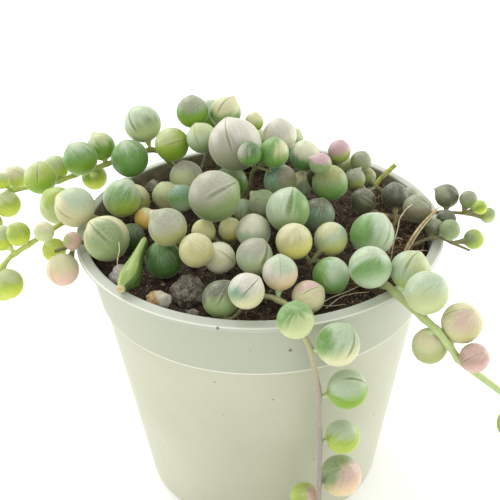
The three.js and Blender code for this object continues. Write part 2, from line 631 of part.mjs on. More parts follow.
function potSolid() {
  const holes = Array.from({ length: DRAIN_HOLES }, (_, i) => {
    const angle = 2 * Math.PI * i / DRAIN_HOLES;
    const [x, y] = [DRAIN_RING_RADIUS * Math.cos(angle), DRAIN_RING_RADIUS * Math.sin(angle)];
    const [low, high] = [new THREE.Vector3(x, y, -POT_FLOOR), new THREE.Vector3(x, y, 2 * POT_FLOOR)];
    return solidOf(rod(low, high, DRAIN_RADIUS, DRAIN_SIDES));
  });
  return cutBy(solidOf(lathe(POT_OUTLINE, POT_SIDES)), holes);
}

// The soil fills the pot, and its top has the soil's waves.
function soilSolid() {
  const fill = (height) => [innerRadius(height) - GAP / Math.cos(Math.PI / POT_SIDES), height];
  const rim = SOIL_LEVEL - SOIL_EDGE_DROP;
  const heights = [POT_FLOOR + GAP, LEDGE_HEIGHT - 2 * LEDGE_RISE, LEDGE_HEIGHT, rim];
  const outline = [[0, POT_FLOOR + GAP], ...heights.map(fill),
    ...SOIL_RINGS.map((radius) => [radius, SOIL_LEVEL])];
  const geometry = mergeVertices(withoutSurface(lathe(outline, POT_SIDES)), MERGE);
  const corners = geometry.attributes.position;
  for (let i = 0; i < corners.count; i += 1) {
    const [x, y, z] = [corners.getX(i), corners.getY(i), corners.getZ(i)];
    if (z > (rim + SOIL_LEVEL) / 2) corners.setZ(i, soilTop(x, y));
  }
  return solidOf(geometry);
}

function leafSolid() {
  const length = leafAxis.getLength();
  const outline = Array.from({ length: LEAF_RINGS + 1 }, (_, i) => {
    const along = i / LEAF_RINGS;
    return new THREE.Vector2(i === LEAF_RINGS ? 0 : leafRadius(along), (along - 0.5) * length);
  });
  const geometry = new THREE.LatheGeometry([new THREE.Vector2(0, -length / 2), ...outline], LEAF_SIDES);
  const middle = leafAxis.getPoint(0.5);
  const turn = new THREE.Quaternion().setFromUnitVectors(LATHE_AXIS, leafAxis.getTangent(0.5));
  geometry.applyQuaternion(turn);
  return solidOf(geometry.translate(middle.x, middle.y, middle.z));
}

// A loose twig or root, or with a swell the larger bed that it lies in.
function twigSolid(points, radius, swell = 0) {
  const curve = spline(points.map(vector));
  return solidOf(tube(curve, radius + swell, STEM_SIDES, Math.ceil(curve.getLength() / TWIG_STEP)));
}

// ---------------------------------------------------------------- the finished group

const group = new THREE.Group();

function add(name, solid, color, roughness) {
  const material = new THREE.MeshStandardMaterial({ color, roughness, metalness: 0 });
  const mesh = new THREE.Mesh(geometryOf(solid), material);
  mesh.name = name;
  group.add(mesh);
}

add('pot', potSolid(), '#c9cbb8', ROUGHNESS.pot);

const stoneBeds = STONES.map((stone, i) => solidOf(stoneGeometry(stone, i + 1, GAP)));
const twigBeds = TWIGS.map(({ route, radius }) => twigSolid(route, radius, GAP));
const stemHoles = stems.map((stem) => {
  const low = stem.points[0].clone().add(new THREE.Vector3(0, 0, -GAP));
  const high = stem.points[FOOTING.length - 1].clone().add(new THREE.Vector3(0, 0, HOLE_RISE));
  return solidOf(rod(low, high, stem.radius + HOLE_ROOM, HOLE_SIDES));
});
const soil = cutBy(soilSolid(), [...stoneBeds, ...twigBeds, ...stemHoles]);
add('soil', soil, '#3d3329', ROUGHNESS.soil);

STONES.forEach((stone, i) => {
  add(stone.name, solidOf(stoneGeometry(stone, i + 1)), stone.color, ROUGHNESS.stone);
});
for (const { name, color, route, radius } of TWIGS) {
  add(name, twigSolid(route, radius), color, ROUGHNESS.dry);
}
add('fallen_leaf', leafSolid(), '#6f9c45', ROUGHNESS.leaf);
stems.forEach((stem, i) => {
  add(stem.strand, strandSolid(stem), STRANDS[i].color, ROUGHNESS.leaf);
});

export default group;
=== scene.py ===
# %% [markdown]
# # A potted string of pearls
#
# The plant is a young variegated string of pearls in a 9 cm nursery pot. Its leaves are round and
# full of water, and each has a point at its end and a thin window along one side that lets light
# in. The leaves sit on short stalks along thin stems, which creep over the soil and over the lip.
#
# Sizes are in millimetres until a mesh is made, because that is how such a plant is measured, and
# MM turns them into the metres of the scene.

# %% The frame
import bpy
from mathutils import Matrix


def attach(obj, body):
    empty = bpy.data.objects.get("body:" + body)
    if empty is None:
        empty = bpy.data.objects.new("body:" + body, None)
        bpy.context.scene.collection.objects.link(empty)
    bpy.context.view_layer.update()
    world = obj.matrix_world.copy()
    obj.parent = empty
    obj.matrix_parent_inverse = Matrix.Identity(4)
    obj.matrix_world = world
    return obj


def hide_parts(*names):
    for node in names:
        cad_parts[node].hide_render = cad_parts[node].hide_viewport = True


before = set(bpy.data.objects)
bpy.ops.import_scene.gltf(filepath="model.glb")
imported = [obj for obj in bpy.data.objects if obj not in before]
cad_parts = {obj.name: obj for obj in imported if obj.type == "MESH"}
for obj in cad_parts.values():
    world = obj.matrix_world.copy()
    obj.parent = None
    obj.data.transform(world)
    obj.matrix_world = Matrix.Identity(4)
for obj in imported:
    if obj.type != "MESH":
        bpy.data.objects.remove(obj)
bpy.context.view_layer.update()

import math
import random

import bmesh
import bpy
import numpy as np
from mathutils import Quaternion, Vector, noise

MM = 0.001
scene = bpy.context.scene

# %% [markdown]
# ## The plant's lay
#
# Every leaf has a place, given to the half millimetre. A strand lists its leaves from the
# soil outward as x, y, z, diameter and sometimes the hour at which the leaf's point shows, as on a
# clock face seen from the front. A strand that trails also lists the points that its stem runs
# along, and a tail: leaves that are set round the last stretch of the stem by a formula.

# %% The strands
STRANDS = [
  {
    "name": "left_high", "root": [-20, 31],
    "stem": [[-22, 28, 76], [-26.5, 26.5, 79], [-32, 27.5, 75.5], [-38, 25.5, 75], [-42.5, 20.5, 75.5],
      [-47, 17.5, 75.5], [-52, 17.5, 74.5], [-57, 17.5, 74], [-63, 18, 73], [-68, 18, 71],
      [-74, 18, 66], [-79, 17.5, 58], [-82, 17, 49], [-83, 16, 40]],
    "pearls": [[-22, 22.5, 83, 9, 2.5], [-30, 29, 85.5, 10, 11], [-33, 23, 79.5, 10],
      [-41, 27.5, 80.5, 7.5, 11], [-43.5, 26.5, 72, 7], [-45.5, 19.5, 81, 9], [-53, 23.5, 76.5, 7, 5],
      [-55.5, 15, 78, 8.5, 0], [-64, 24.5, 73.5, 6.5], [-66.5, 19, 75.5, 4.5], [-66, 16, 69, 7]],
    "tail": { "from": [-68, 18, 71], "count": 6, "first": 7, "last": 4 },
  },
  {
    "name": "left_low", "root": [-34.5, 6],
    "stem": [[-37, 4, 72.5], [-41.5, 0.5, 73.5], [-46, -2.5, 73.5], [-50, -4, 73], [-54.5, -6, 71],
      [-58.5, -8, 68], [-63.5, -8.5, 65], [-70, -9, 58], [-74.5, -9.5, 49], [-77, -9, 39], [-78, -8, 30]],
    "pearls": [[-44.5, -2, 78.5, 10, 10], [-50, 5.5, 75, 9.5], [-51, -10, 76.5, 5], [-50, -6, 69, 6],
      [-58, -6.5, 74, 6], [-63, -3, 71, 6.5], [-61, -11.5, 63, 7.5]],
    "tail": { "from": [-63.5, -8.5, 65], "count": 6, "first": 7, "last": 4 },
  },
  {
    "name": "left_side", "root": [-34, -7],
    "stem": [[-37, -8.5, 71], [-41, -10, 73.5], [-45, -11.5, 73.5], [-48.5, -13, 72.5]],
    "pearls": [[-36, -13.5, 76, 11, 10.5], [-44, -13, 75.5, 4.5, 6], [-46.5, -15, 69, 8]],
  },
  {
    "name": "left_inner", "root": [-29, 6],
    "pearls": [[-33.5, 2, 78.5, 9.5, 1], [-31.5, 10, 73.5, 8.5], [-28, 0.5, 73.5, 5.5],
      [-31, -5.5, 72, 6.5]],
  },
  {
    "name": "front_trail", "root": [-3, -28],
    "stem": [[-1, -30, 70.5], [3, -36, 73.5], [7, -43, 75.5], [8.5, -48, 73], [10, -48.5, 67],
      [13, -47, 55], [13.5, -45.5, 45], [13.5, -44, 36], [13.5, -42.5, 25], [13, -42, 14],
      [11, -43.5, 5], [7, -47, 2], [1, -51, 1.6], [-6, -53, 1.5], [-13, -52.5, 1.5]],
    "pearls": [[4, -32.5, 77.5, 8, 0], [10, -35.5, 73, 7.5, 2], [6.5, -50, 77, 8],
      [15.5, -48.5, 69.5, 9.5, 1], [18, -46.5, 56, 9, 3], [17.5, -44, 40.5, 8, 2],
      [17.5, -42, 27, 10], [9, -42, 20.5, 7]],
    "tail": { "from": [13, -42, 14], "count": 7, "first": 7, "last": 4, "on_floor": True },
  },
  {
    "name": "right_trail", "root": [22, -24], "thickness": 0.95,
    "stem": [[23.5, -28, 71.5], [26, -34, 74], [31, -38.5, 74.5], [35.5, -43, 72.5], [40, -47.5, 68.5],
      [45, -50.5, 65], [49.5, -52.5, 62], [55, -54.5, 57], [59.5, -56, 49], [61.5, -56.5, 39],
      [62, -56, 30]],
    "pearls": [[25.5, -17, 77.5, 10.5, 1], [23.5, -33.5, 79, 9.5], [32.5, -32, 77, 9, 1],
      [34.5, -42.5, 78, 9.5], [35.5, -45, 66, 8], [42, -45, 71.5, 9], [44, -50, 66.5, 6.5]],
    "tail": { "from": [55, -54.5, 57], "count": 6, "first": 7, "last": 4 },
  },
  {
    "name": "far_right", "root": [33, 0], "thickness": 0.55,
    "stem": [[35, -1, 71.5], [38, -2, 73.5], [42, -3.5, 75], [47, -5, 76], [50, -6, 76], [53, -6, 75.5]],
    "pearls": [[34, 6, 75, 7, 0], [38.5, -6.5, 77, 7, 4], [46, 0, 78, 6, 10], [44.5, -6, 74.5, 5],
      [50.5, -2, 78, 4.5], [52.5, -7, 78.5, 3.5], [55.5, -3, 74, 4]],
  },
  {
    "name": "far_low", "root": [35, -10], "thickness": 0.55,
    "stem": [[37, -11, 71], [41, -13, 74], [46, -14, 73.5], [49.5, -13.5, 70.5]],
    "pearls": [[40.5, -9, 74.5, 4.5], [44.5, -13, 76, 5], [51, -10, 71.5, 5]],
  },
  {
    "name": "right_dark", "root": [29, 10],
    "pearls": [[26, 5, 74.5, 6.5, 4], [24.5, 12, 77, 5.5, 1], [28.5, 18, 74.5, 4.5],
      [38.5, 10, 73, 4.5, 0]],
  },
  {
    "name": "pink_back", "root": [18, 12],
    "pearls": [[17.5, 5, 79.5, 9, 4], [15, 1, 87, 5.5, 10], [12, 14, 83, 8], [21, 18, 82, 6],
      [26.5, 17, 79.5, 5.5], [23.5, 20.5, 76, 4.5]],
  },
  {
    "name": "back_ridge", "root": [-10, 24],
    "pearls": [[-14, 19.5, 86, 8], [-16.5, 27, 90, 8.5, 0], [-8, 28, 89, 8.5, 1], [-0.5, 26.5, 87, 5],
      [6, 24, 84, 9]],
  },
  {
    "name": "crown_white", "root": [-3, 10],
    "pearls": [[-5.5, 12, 87.5, 13.5, 11.5], [-2, 2.5, 89.5, 6, 0], [4, 5.5, 88, 7.5, 0]],
  },
  {
    "name": "crown_grey", "root": [-9, 9],
    "pearls": [[-7, 15.5, 75, 9], [-4, 2, 74.5, 5.5], [-10.5, -7.5, 83.5, 12.5, 2], [-19, 4, 77, 7],
      [-23.5, 12, 73.5, 7.5], [-18.5, 19, 75, 9]],
  },
  {
    "name": "crown_green", "root": [4, -5],
    "pearls": [[6.5, -11.5, 81.5, 10.5, 0.5], [1, -2.5, 78.5, 7, 10.5], [14.5, -1, 74.5, 8.5, 0.5],
      [5.5, 6.5, 80, 8.5, 5.5], [11, 13, 75.5, 6.5]],
  },
  {
    "name": "front_pale", "root": [-16, -15],
    "pearls": [[-23, -18, 73, 9], [-21, -19, 82, 9, 10.5], [-14.5, -24.5, 79, 8],
      [-9.5, -20.5, 74.5, 7.5, 4], [-13.5, -6.5, 73.5, 6], [-7, -6, 73.5, 6]],
  },
  {
    "name": "front_white", "root": [-3, -17],
    "pearls": [[-1.5, -11.5, 76, 8.5], [-1.5, -24.5, 77, 8.5, 1], [-3.5, -39.5, 77.5, 8, 1.5],
      [-9, -35.5, 73, 8.5, 1]],
  },
  {
    "name": "front_yellow", "root": [12, -23],
    "pearls": [[7.5, -22.5, 79.5, 8.5], [16.5, -17.5, 77, 8], [15.5, -28.5, 74, 8.5, 5]],
  },
  {
    "name": "back_creeper", "root": [8, 30],
    "stem": [[6, 33, 71.5], [3, 35.5, 72.5], [-1, 37, 73], [-5, 36.5, 73.5]],
    "pearls": [],
    "tail": { "from": [6, 33, 71.5], "count": 5, "first": 8, "last": 6 },
  },
  {
    "name": "back_trail", "root": [-15, 34],
    "stem": [[-14, 37, 72], [-12, 41, 75], [-10, 45.5, 76.5], [-8.5, 49, 74], [-8, 49.5, 66], [-8, 48, 56],
      [-9, 46, 45], [-9.5, 44.5, 34], [-9, 44, 25]],
    "pearls": [],
    "tail": { "from": [-12, 41, 75], "count": 10, "first": 8.5, "last": 4 },
  },
]
print("strands:", len(STRANDS), "with", sum(len(strand["pearls"]) for strand in STRANDS),
      "leaves placed by hand")

# %% Stones and loose pieces
# Stones lie half sunk in the soil: place, size.
STONES = {
  "pumice_large": ([-16.5, -28, 70.2], [9, 8, 8.4]),
  "pumice_dark": ([-8.5, -27.5, 69], [6, 5, 5]),
  "stone_lilac": ([-32, -19, 69.1], [8, 6.5, 6.5]),
  "stone_amber": ([-23.2, -31, 70], [6.4, 4.6, 5.2]),
  "grit_front": ([-15.5, -34.8, 68.6], [3.6, 2.8, 2.8]),
  "grit_back": ([-28, 27, 68.3], [5, 6, 4]),
  "grit_right": ([36, 14.5, 68.3], [5, 4, 3.6]),
  "grit_far": ([12, 33, 68.4], [6, 5, 4]),
}

# Loose and dead pieces of the plant: their centre lines and radii.
TWIGS = {
  "old_stem": ([[28.5, 8.5, 69.5], [31.5, 6, 69.5], [35.5, 5, 69.5], [39.5, 3.5, 69.5]], 0.8),
  "cut_stem": ([[30.5, 22, 65], [31, 22.5, 69], [33.5, 23.5, 72], [36.5, 24.5, 74.5]], 0.65),
  "dry_root": ([[33.5, -13.5, 64], [34, -13, 69], [36, -12.5, 73.5], [39.5, -10.5, 77],
    [43.5, -9.5, 80.5]], 0.4),
}
print("stones:", len(STONES), "twigs and roots:", len(TWIGS))

# %% [markdown]
# ### Smooth lines
#
# A stem is a few points and a smooth line through them. One of Blender's curves could draw it, but
# the script has to measure along it too, before there is anything to draw. So it works out the
# line itself, as a centripetal Catmull-Rom spline, which passes through its points without loops.

# %% Lines, ways and repeatable numbers
ARC_STEPS = 200
TANGENT_REACH = 1e-4
DRAW_FACTOR = 16807
DRAW_RANGE = 2147483647


def unit(rows):
    """Each row of an array, or one vector, at length 1."""
    rows = np.asarray(rows, float)
    return rows / np.linalg.norm(rows, axis=-1, keepdims=True)


class Spline:
    """A smooth line through points. A share is a part of its length, from 0 to 1."""

    def __init__(self, points):
        self.points = np.array(points, float)
        steps = np.diff(self.at(np.linspace(0, 1, ARC_STEPS + 1)), axis=0)
        self.lengths = np.concatenate([[0], np.cumsum(np.linalg.norm(steps, axis=1))])
        self.length = self.lengths[-1]

    def at(self, parameters):
        """Places by parameter, which runs from 0 to 1 and crosses each stretch in equal time."""
        points = self.points
        place = np.clip(parameters, 0, 1) * (len(points) - 1)
        first = np.minimum(place.astype(int), len(points) - 2)
        weight = (place - first)[:, None]
        ends = [2 * points[0] - points[1], 2 * points[-1] - points[-2]]
        padded = np.vstack([ends[:1], points, ends[1:]])
        a, b, c, d = (padded[first + k] for k in range(4))
        before, here, after = (np.sqrt(np.linalg.norm(q - p, axis=1))[:, None]
                               for p, q in ((a, b), (b, c), (c, d)))
        start = here * ((b - a) / before - (c - a) / (before + here) + (c - b) / here)
        end = here * ((c - b) / here - (d - b) / (here + after) + (d - c) / after)
        return (b + start * weight + (3 * (c - b) - 2 * start - end) * weight ** 2
                + (2 * (b - c) + start + end) * weight ** 3)

    def parameters(self, shares):
        knots = np.linspace(0, 1, ARC_STEPS + 1)
        return np.interp(np.asarray(shares) * self.length, self.lengths, knots)

    def places(self, shares):
        return self.at(self.parameters(shares))

    def tangents(self, shares):
        middle = self.parameters(shares)
        return unit(self.at(middle + TANGENT_REACH) - self.at(middle - TANGENT_REACH))

    def spaced(self, steps):
        """Places at even distances, from its start to its end."""
        return self.places(np.linspace(0, 1, steps + 1))


class Draws:
    """A repeatable stream of numbers from 0 to 1."""

    def __init__(self, seed):
        self.state = seed

    def __call__(self):
        self.state = self.state * DRAW_FACTOR % DRAW_RANGE
        return self.state / DRAW_RANGE


longest = max(Spline(strand["stem"]).length for strand in STRANDS if "stem" in strand)
print("longest stem laid by hand:", round(longest), "mm")

# %% [markdown]
# ### The pot and the soil
#
# The leaves lean on the pot and lie on the soil, so both come first: the pot as the radius and
# height of each corner of its wall, up the outside and down the inside, and the soil as a height
# for every place. All of the pot's corners are worked out from a few of its sizes.

# %% The pot's section and the soil's surface
POT_HEIGHT = 72
POT_BASE_RADIUS = 30.8
POT_BAND_HEIGHT = 16.2
POT_LEDGE = 0.8
POT_BAND_BOTTOM_RADIUS = 40.4
POT_BAND_TOP_RADIUS = 43
POT_LIP_RADIUS = 45
LIP_EDGE = 1
LIP_SLOPE = 0.6
POT_WALL = 1
POT_FLOOR = 1.5
BEVEL = 0.6
BEVEL_RISE = 0.8
LEDGE_RISE = 0.5
FLOOR_FLARE = 0.2
LEDGE_HEIGHT = POT_HEIGHT - POT_BAND_HEIGHT
WALL_TOP_RADIUS = POT_BAND_BOTTOM_RADIUS - POT_LEDGE
LIP_BOTTOM = POT_HEIGHT - LIP_SLOPE - LIP_EDGE
POT_INSIDE = [
    [POT_BAND_TOP_RADIUS - POT_WALL, LIP_BOTTOM - BEVEL],
    [POT_BAND_BOTTOM_RADIUS - POT_WALL, LEDGE_HEIGHT],
    [WALL_TOP_RADIUS - POT_WALL, LEDGE_HEIGHT - 2 * LEDGE_RISE],
    [POT_BASE_RADIUS - POT_WALL + FLOOR_FLARE, POT_FLOOR],
]
POT_OUTSIDE = [
    [POT_BASE_RADIUS - BEVEL, 0],
    [POT_BASE_RADIUS, BEVEL_RISE],
    [WALL_TOP_RADIUS, LEDGE_HEIGHT - LEDGE_RISE],
    [POT_BAND_BOTTOM_RADIUS, LEDGE_HEIGHT],
    [POT_BAND_TOP_RADIUS, LIP_BOTTOM],
    [POT_LIP_RADIUS, LIP_BOTTOM],
    [POT_LIP_RADIUS, LIP_BOTTOM + LIP_EDGE],
    [POT_BAND_TOP_RADIUS - BEVEL, POT_HEIGHT],
]
POT_SECTION = np.array(POT_OUTSIDE + POT_INSIDE, float)
SOIL_LEVEL = 68.1
SOIL_BUMP = 0.35
WAVE = {"x": 0.41, "y": 0.37, "shift": 1.3}
RIPPLE = {"x": 0.7, "y": 0.93, "share": 0.6}


def radius_at(height, section):
    """How far the pot's wall is from the axis at one height."""
    rows = sorted(section, key=lambda row: row[1])
    return float(np.interp(height, [row[1] for row in rows], [row[0] for row in rows]))


def soil_top(x, y):
    """The soil's surface: level, with two sets of low waves that cross."""
    waves = np.sin(WAVE["x"] * x + WAVE["shift"]) * np.cos(WAVE["y"] * y)
    ripples = np.sin(RIPPLE["y"] * y + RIPPLE["x"] * x)
    return SOIL_LEVEL + SOIL_BUMP * (waves + RIPPLE["share"] * ripples) / (1 + RIPPLE["share"])


print("pot:", 2 * POT_LIP_RADIUS, "mm across and", POT_HEIGHT, "mm high")

# %% [markdown]
# ### The leaves settle
#
# Balls placed by hand would cross each other. A physics run could part them, but it would also
# roll them away from where they are meant to be. So the leaves only settle: in each pass, each
# moves away from all that it overlaps, which are the other leaves, the stones, the loose pieces,
# the soil and the pot, and after some passes none overlap.

# %% Pushes
FLOOR_CLEAR = 0.2
NEAR_NOTHING = 1e-12


def pushes_from_pot(centres, reach):
    """The pushes that take balls of the given reach out of the pot's wall."""
    radius = np.hypot(centres[:, 0], centres[:, 1])
    place = np.stack([radius, centres[:, 2]], axis=1)[:, None]
    start, step = POT_SECTION[None, :-1], np.diff(POT_SECTION, axis=0)[None]
    along = ((place - start) * step).sum(2) / (step ** 2).sum(2)
    gaps = place - (start + np.clip(along, 0, 1)[..., None] * step)
    distances = np.linalg.norm(gaps, axis=2)
    nearest = distances.argmin(1)
    rows = np.arange(len(centres))
    distance = np.maximum(distances[rows, nearest], NEAR_NOTHING)
    outward, upward = gaps[rows, nearest].T * np.maximum(0, (reach - distance) / distance)
    ring = centres[:, :2] * (outward / radius)[:, None]
    return np.column_stack([ring, upward])


def pushes_clear_of_pot(centres, radii, room):
    """Keeps balls out of the pot's wall and above the soil and the floor."""
    push = pushes_from_pot(centres, radii + room)
    x, y, z = centres.T
    in_pot = (np.hypot(x, y) < POT_BAND_TOP_RADIUS) & (z > LEDGE_HEIGHT)
    lowest = np.where(in_pot, soil_top(x, y) + room, FLOOR_CLEAR) + radii
    push[:, 2] += np.maximum(0, lowest - z)
    return push


def pushes_apart(centres, others, rooms, share=1.0):
    """Moves each centre away from the others that lie nearer than its room."""
    away = centres[:, None] - others[None]
    distance = np.maximum(np.linalg.norm(away, axis=2), NEAR_NOTHING)
    strength = np.maximum(0, rooms - distance) * share / distance
    return (away * strength[..., None]).sum(1)


ball_on_lip = np.array([[POT_LIP_RADIUS, 0, POT_HEIGHT]], float)
print("a ball of 3 mm on the lip is pushed by", pushes_from_pot(ball_on_lip, 3).round(2)[0], "mm")

# %% Where each leaf starts and how its point faces
SEED = 11
VIEW_PITCH = math.radians(31)
UP_IN_VIEW = np.array([0, math.sin(VIEW_PITCH), math.cos(VIEW_PITCH)])
RIGHT_IN_VIEW = np.array([1.0, 0, 0])
TO_VIEWER = np.array([0, -math.cos(VIEW_PITCH), math.sin(VIEW_PITCH)])
SPLAY_ACROSS = 70
SPLAY_ALONG = 90
TIP_JITTER = 0.25
TAIL_START = 0.6
TAIL_STALK = 1.2
GOLDEN_ANGLE = 2.4
TURN_JITTER = 0.5
LAID_FLAT = 0.3
DROOP = 0.3
draw = Draws(SEED)


def on_clock(hour):
    """The way of an hour on a clock face seen from the front and above."""
    angle = 2 * math.pi * hour / 12
    return UP_IN_VIEW * math.cos(angle) + RIGHT_IN_VIEW * math.sin(angle)


def tip_of(centre, hour=None):
    """The way that a leaf's point faces: by its hour, or else up with a lean outwards."""
    across = centre[0] / SPLAY_ACROSS + TIP_JITTER * (2 * draw() - 1)
    along = centre[1] / SPLAY_ALONG + TIP_JITTER * (2 * draw() - 1)
    return unit([across, along, 1]) if hour is None else on_clock(hour)


def tail_leaves(strand):
    """Leaves set round the last stretch of a stem, each turned on from the one before."""
    tail = strand["tail"]
    route = Spline(strand["stem"][strand["stem"].index(tail["from"]):])
    count, on_floor = tail["count"], tail.get("on_floor")
    turn = draw() * math.pi * 2
    leaves = []
    for i in range(count):
        share = [(i + TAIL_START) / (count - 1 + TAIL_START)]
        point, ahead = route.places(share)[0], route.tangents(share)[0]
        side = unit(np.cross([0, 0, 1], ahead))
        turn += math.pi if on_floor else GOLDEN_ANGLE + TURN_JITTER * draw()
        rise = math.sin(turn) * (LAID_FLAT if on_floor else 1)
        way = unit(side * math.cos(turn) + np.cross(ahead, side) * rise)
        radius = (tail["first"] + (tail["last"] - tail["first"]) * i / (count - 1)) / 2
        leaves.append((point + way * (radius + TAIL_STALK), radius, unit(way - [0, 0, DROOP])))
    return leaves


centres, radii, tips, owners = [], [], [], []
for number, strand in enumerate(STRANDS):
    leaves = [(np.array(row[:3], float), row[3] / 2, tip_of(row, *row[4:]))
              for row in strand["pearls"]]
    if "tail" in strand:
        leaves += tail_leaves(strand)
    for centre, radius, tip in leaves:
        centres.append(centre)
        radii.append(radius)
        tips.append(tip)
        owners.append(number)
centres, radii, tips, owners = (np.array(part) for part in (centres, radii, tips, owners))
print("leaves:", len(centres), "diameters", 2 * radii.min(), "to", 2 * radii.max(), "mm")

# %% What the leaves settle against
LEAF_SCAR = [-30.8, -29.4, 74.1]
LEAF_TOP = [-27.6, -14.6, 77]
LEAF_RADIUS = 2.7
LEAF_BALLS = 5
SPINDLE_START = 0.12
SPINDLE_SPAN = 0.9
SPINDLE_FULLNESS = 0.6
TWIG_BALLS = 8
TWIG_ROOM = 0.3


def leaf_radius(share):
    """The fallen leaf is a spindle, blunt at its scar and pointed at its top."""
    turn = np.pi * np.minimum(1, SPINDLE_START + SPINDLE_SPAN * share)
    return LEAF_RADIUS * np.sin(turn) ** SPINDLE_FULLNESS


leaf_shares = (np.arange(LEAF_BALLS) + 0.5) / LEAF_BALLS
balls = [(place, leaf_radius(share)) for place, share in
         zip(Spline([LEAF_SCAR, LEAF_TOP]).places(leaf_shares), leaf_shares)]
balls += [(place, sum(size) / 6) for place, size in STONES.values()]
balls += [(place, thickness + TWIG_ROOM) for route, thickness in TWIGS.values()
          for place in Spline(route).spaced(TWIG_BALLS)]
ball_centres = np.array([place for place, _ in balls], float)
ball_radii = np.array([radius for _, radius in balls])
print("balls that stand for stones, twigs and the fallen leaf:", len(balls))

# %% Let them settle
LEAF_PASSES = 160
CLEAR = 0.35
TOUCH = 0.05

kin = owners[:, None] == owners[None]
rooms = radii[:, None] + radii[None] + np.where(kin, TOUCH, CLEAR)
np.fill_diagonal(rooms, 0)
ball_rooms = radii[:, None] + ball_radii[None] + CLEAR
placed_by_hand = centres
for _ in range(LEAF_PASSES):
    centres = (centres + pushes_apart(centres, centres, rooms, 0.5)
               + pushes_apart(centres, ball_centres, ball_rooms)
               + pushes_clear_of_pot(centres, radii, CLEAR))
shifts = np.linalg.norm(centres - placed_by_hand, axis=1)
print("the leaves moved", round(shifts.mean(), 1), "mm on average, at most", round(shifts.max(), 1))

# %% [markdown]
# ### The stems settle
#
# A stem starts upright in the soil, and then runs along the points given for it or under its
# leaves. It is drawn towards its leaves, smoothed, and pushed clear of all that isn't its own. The
# last passes only push, so that no pull is left that could hold it in something.

# %% Let the stems settle
FOOTING = [-6, -2.4, 1.2]
STEM_RADIUS = 0.75
STEM_STEP = 2.4
STALK = 0.9
TIP_SIDE = 0.5
STEM_CLEAR = 1.0
STEM_PASSES = 260
LAST_PASSES = 60
SMOOTHING = 0.35
PULL = 0.5


def first_route(strand, own):
    """A stem's points before it settles: its footing, then its own points or those under its leaves."""
    x, y = strand["root"]
    footing = [[x, y, soil_top(x, y) + rise] for rise in FOOTING]
    over = unit(tips[own] * TIP_SIDE + [0, 0, 1])
    below = centres[own] - over * (radii[own] + STALK + STEM_RADIUS)[:, None]
    above = Spline(np.vstack([footing[-1:], strand.get("stem", below)]))
    steps = max(len(FOOTING) - 1, int(above.length / STEM_STEP + 0.5))
    return np.vstack([footing[:-1], above.spaced(steps)])


own_leaves = [np.flatnonzero(owners == number) for number in range(len(STRANDS))]
routes = [first_route(strand, own) for strand, own in zip(STRANDS, own_leaves)]
thickness = np.array([strand.get("thickness", STEM_RADIUS) for strand in STRANDS])
stem_of = np.concatenate([[number] * len(route) for number, route in enumerate(routes)])
starts = np.cumsum([0] + [len(route) for route in routes])
points = np.vstack(routes)
point_radii = thickness[stem_of]
free = np.concatenate([np.arange(len(route)) >= len(FOOTING) for route in routes])
leaf_rooms = (point_radii[:, None] + radii[None]
              + np.where(stem_of[:, None] == owners[None], 0, CLEAR))
stem_rooms = np.where(stem_of[:, None] == stem_of[None], 0,
                      point_radii[:, None] + point_radii[None] + CLEAR)
stem_ball_rooms = point_radii[:, None] + ball_radii[None] + CLEAR
inner = np.flatnonzero(free & np.append(stem_of[1:] == stem_of[:-1], False))


def pull_to_leaves(push):
    """Draws the nearest point of each stem towards a leaf that hangs too far from it."""
    for leaf, owner in enumerate(owners):
        away = centres[leaf] - points[starts[owner]:starts[owner + 1]]
        distance = np.linalg.norm(away, axis=1)
        nearest = distance.argmin()
        slack = distance[nearest] - (radii[leaf] + thickness[owner] + STALK)
        if nearest >= len(FOOTING) and slack > 0:
            push[starts[owner] + nearest] += away[nearest] / distance[nearest] * slack * PULL


for number in range(STEM_PASSES):
    push = (pushes_apart(points, centres, leaf_rooms)
            + pushes_apart(points, ball_centres, stem_ball_rooms)
            + pushes_apart(points, points, stem_rooms, 0.5)
            + pushes_clear_of_pot(points, point_radii, STEM_CLEAR))
    if number < STEM_PASSES - LAST_PASSES:
        push[inner] += ((points[inner - 1] + points[inner + 1]) / 2 - points[inner]) * SMOOTHING
        pull_to_leaves(push)
    points = points + push * free[:, None]
stems = [Spline(points[start:end]) for start, end in zip(starts, starts[1:])]
print("stems:", len(stems), "together", round(sum(stem.length for stem in stems)), "mm")

# %% Where each leaf's stalk leaves its stem
JOINT_STEP = 4.4

feet = np.empty_like(centres)
for number, stem in enumerate(stems):
    joints = stem.spaced(int(stem.length / JOINT_STEP + 0.5))[1:-1]
    for leaf in own_leaves[number]:
        feet[leaf] = joints[np.linalg.norm(joints - centres[leaf], axis=1).argmin()]
stalks = np.linalg.norm(feet - centres, axis=1) - radii
print("longest stalk:", round(stalks.max(), 1), "mm")

# %% [markdown]
# ## Wiring nodes by arithmetic
#
# Both the shapes and the finishes below are trees of nodes. A tree is easier to read as sums than as
# a list of links, so one small class wraps a node's output: adding or multiplying two of them adds
# the Math or Vector Math node that works the result out. Colours never go through a Math node, which
# would turn them grey: they are mixed, or scaled as vectors.

# %% Graphs and wires


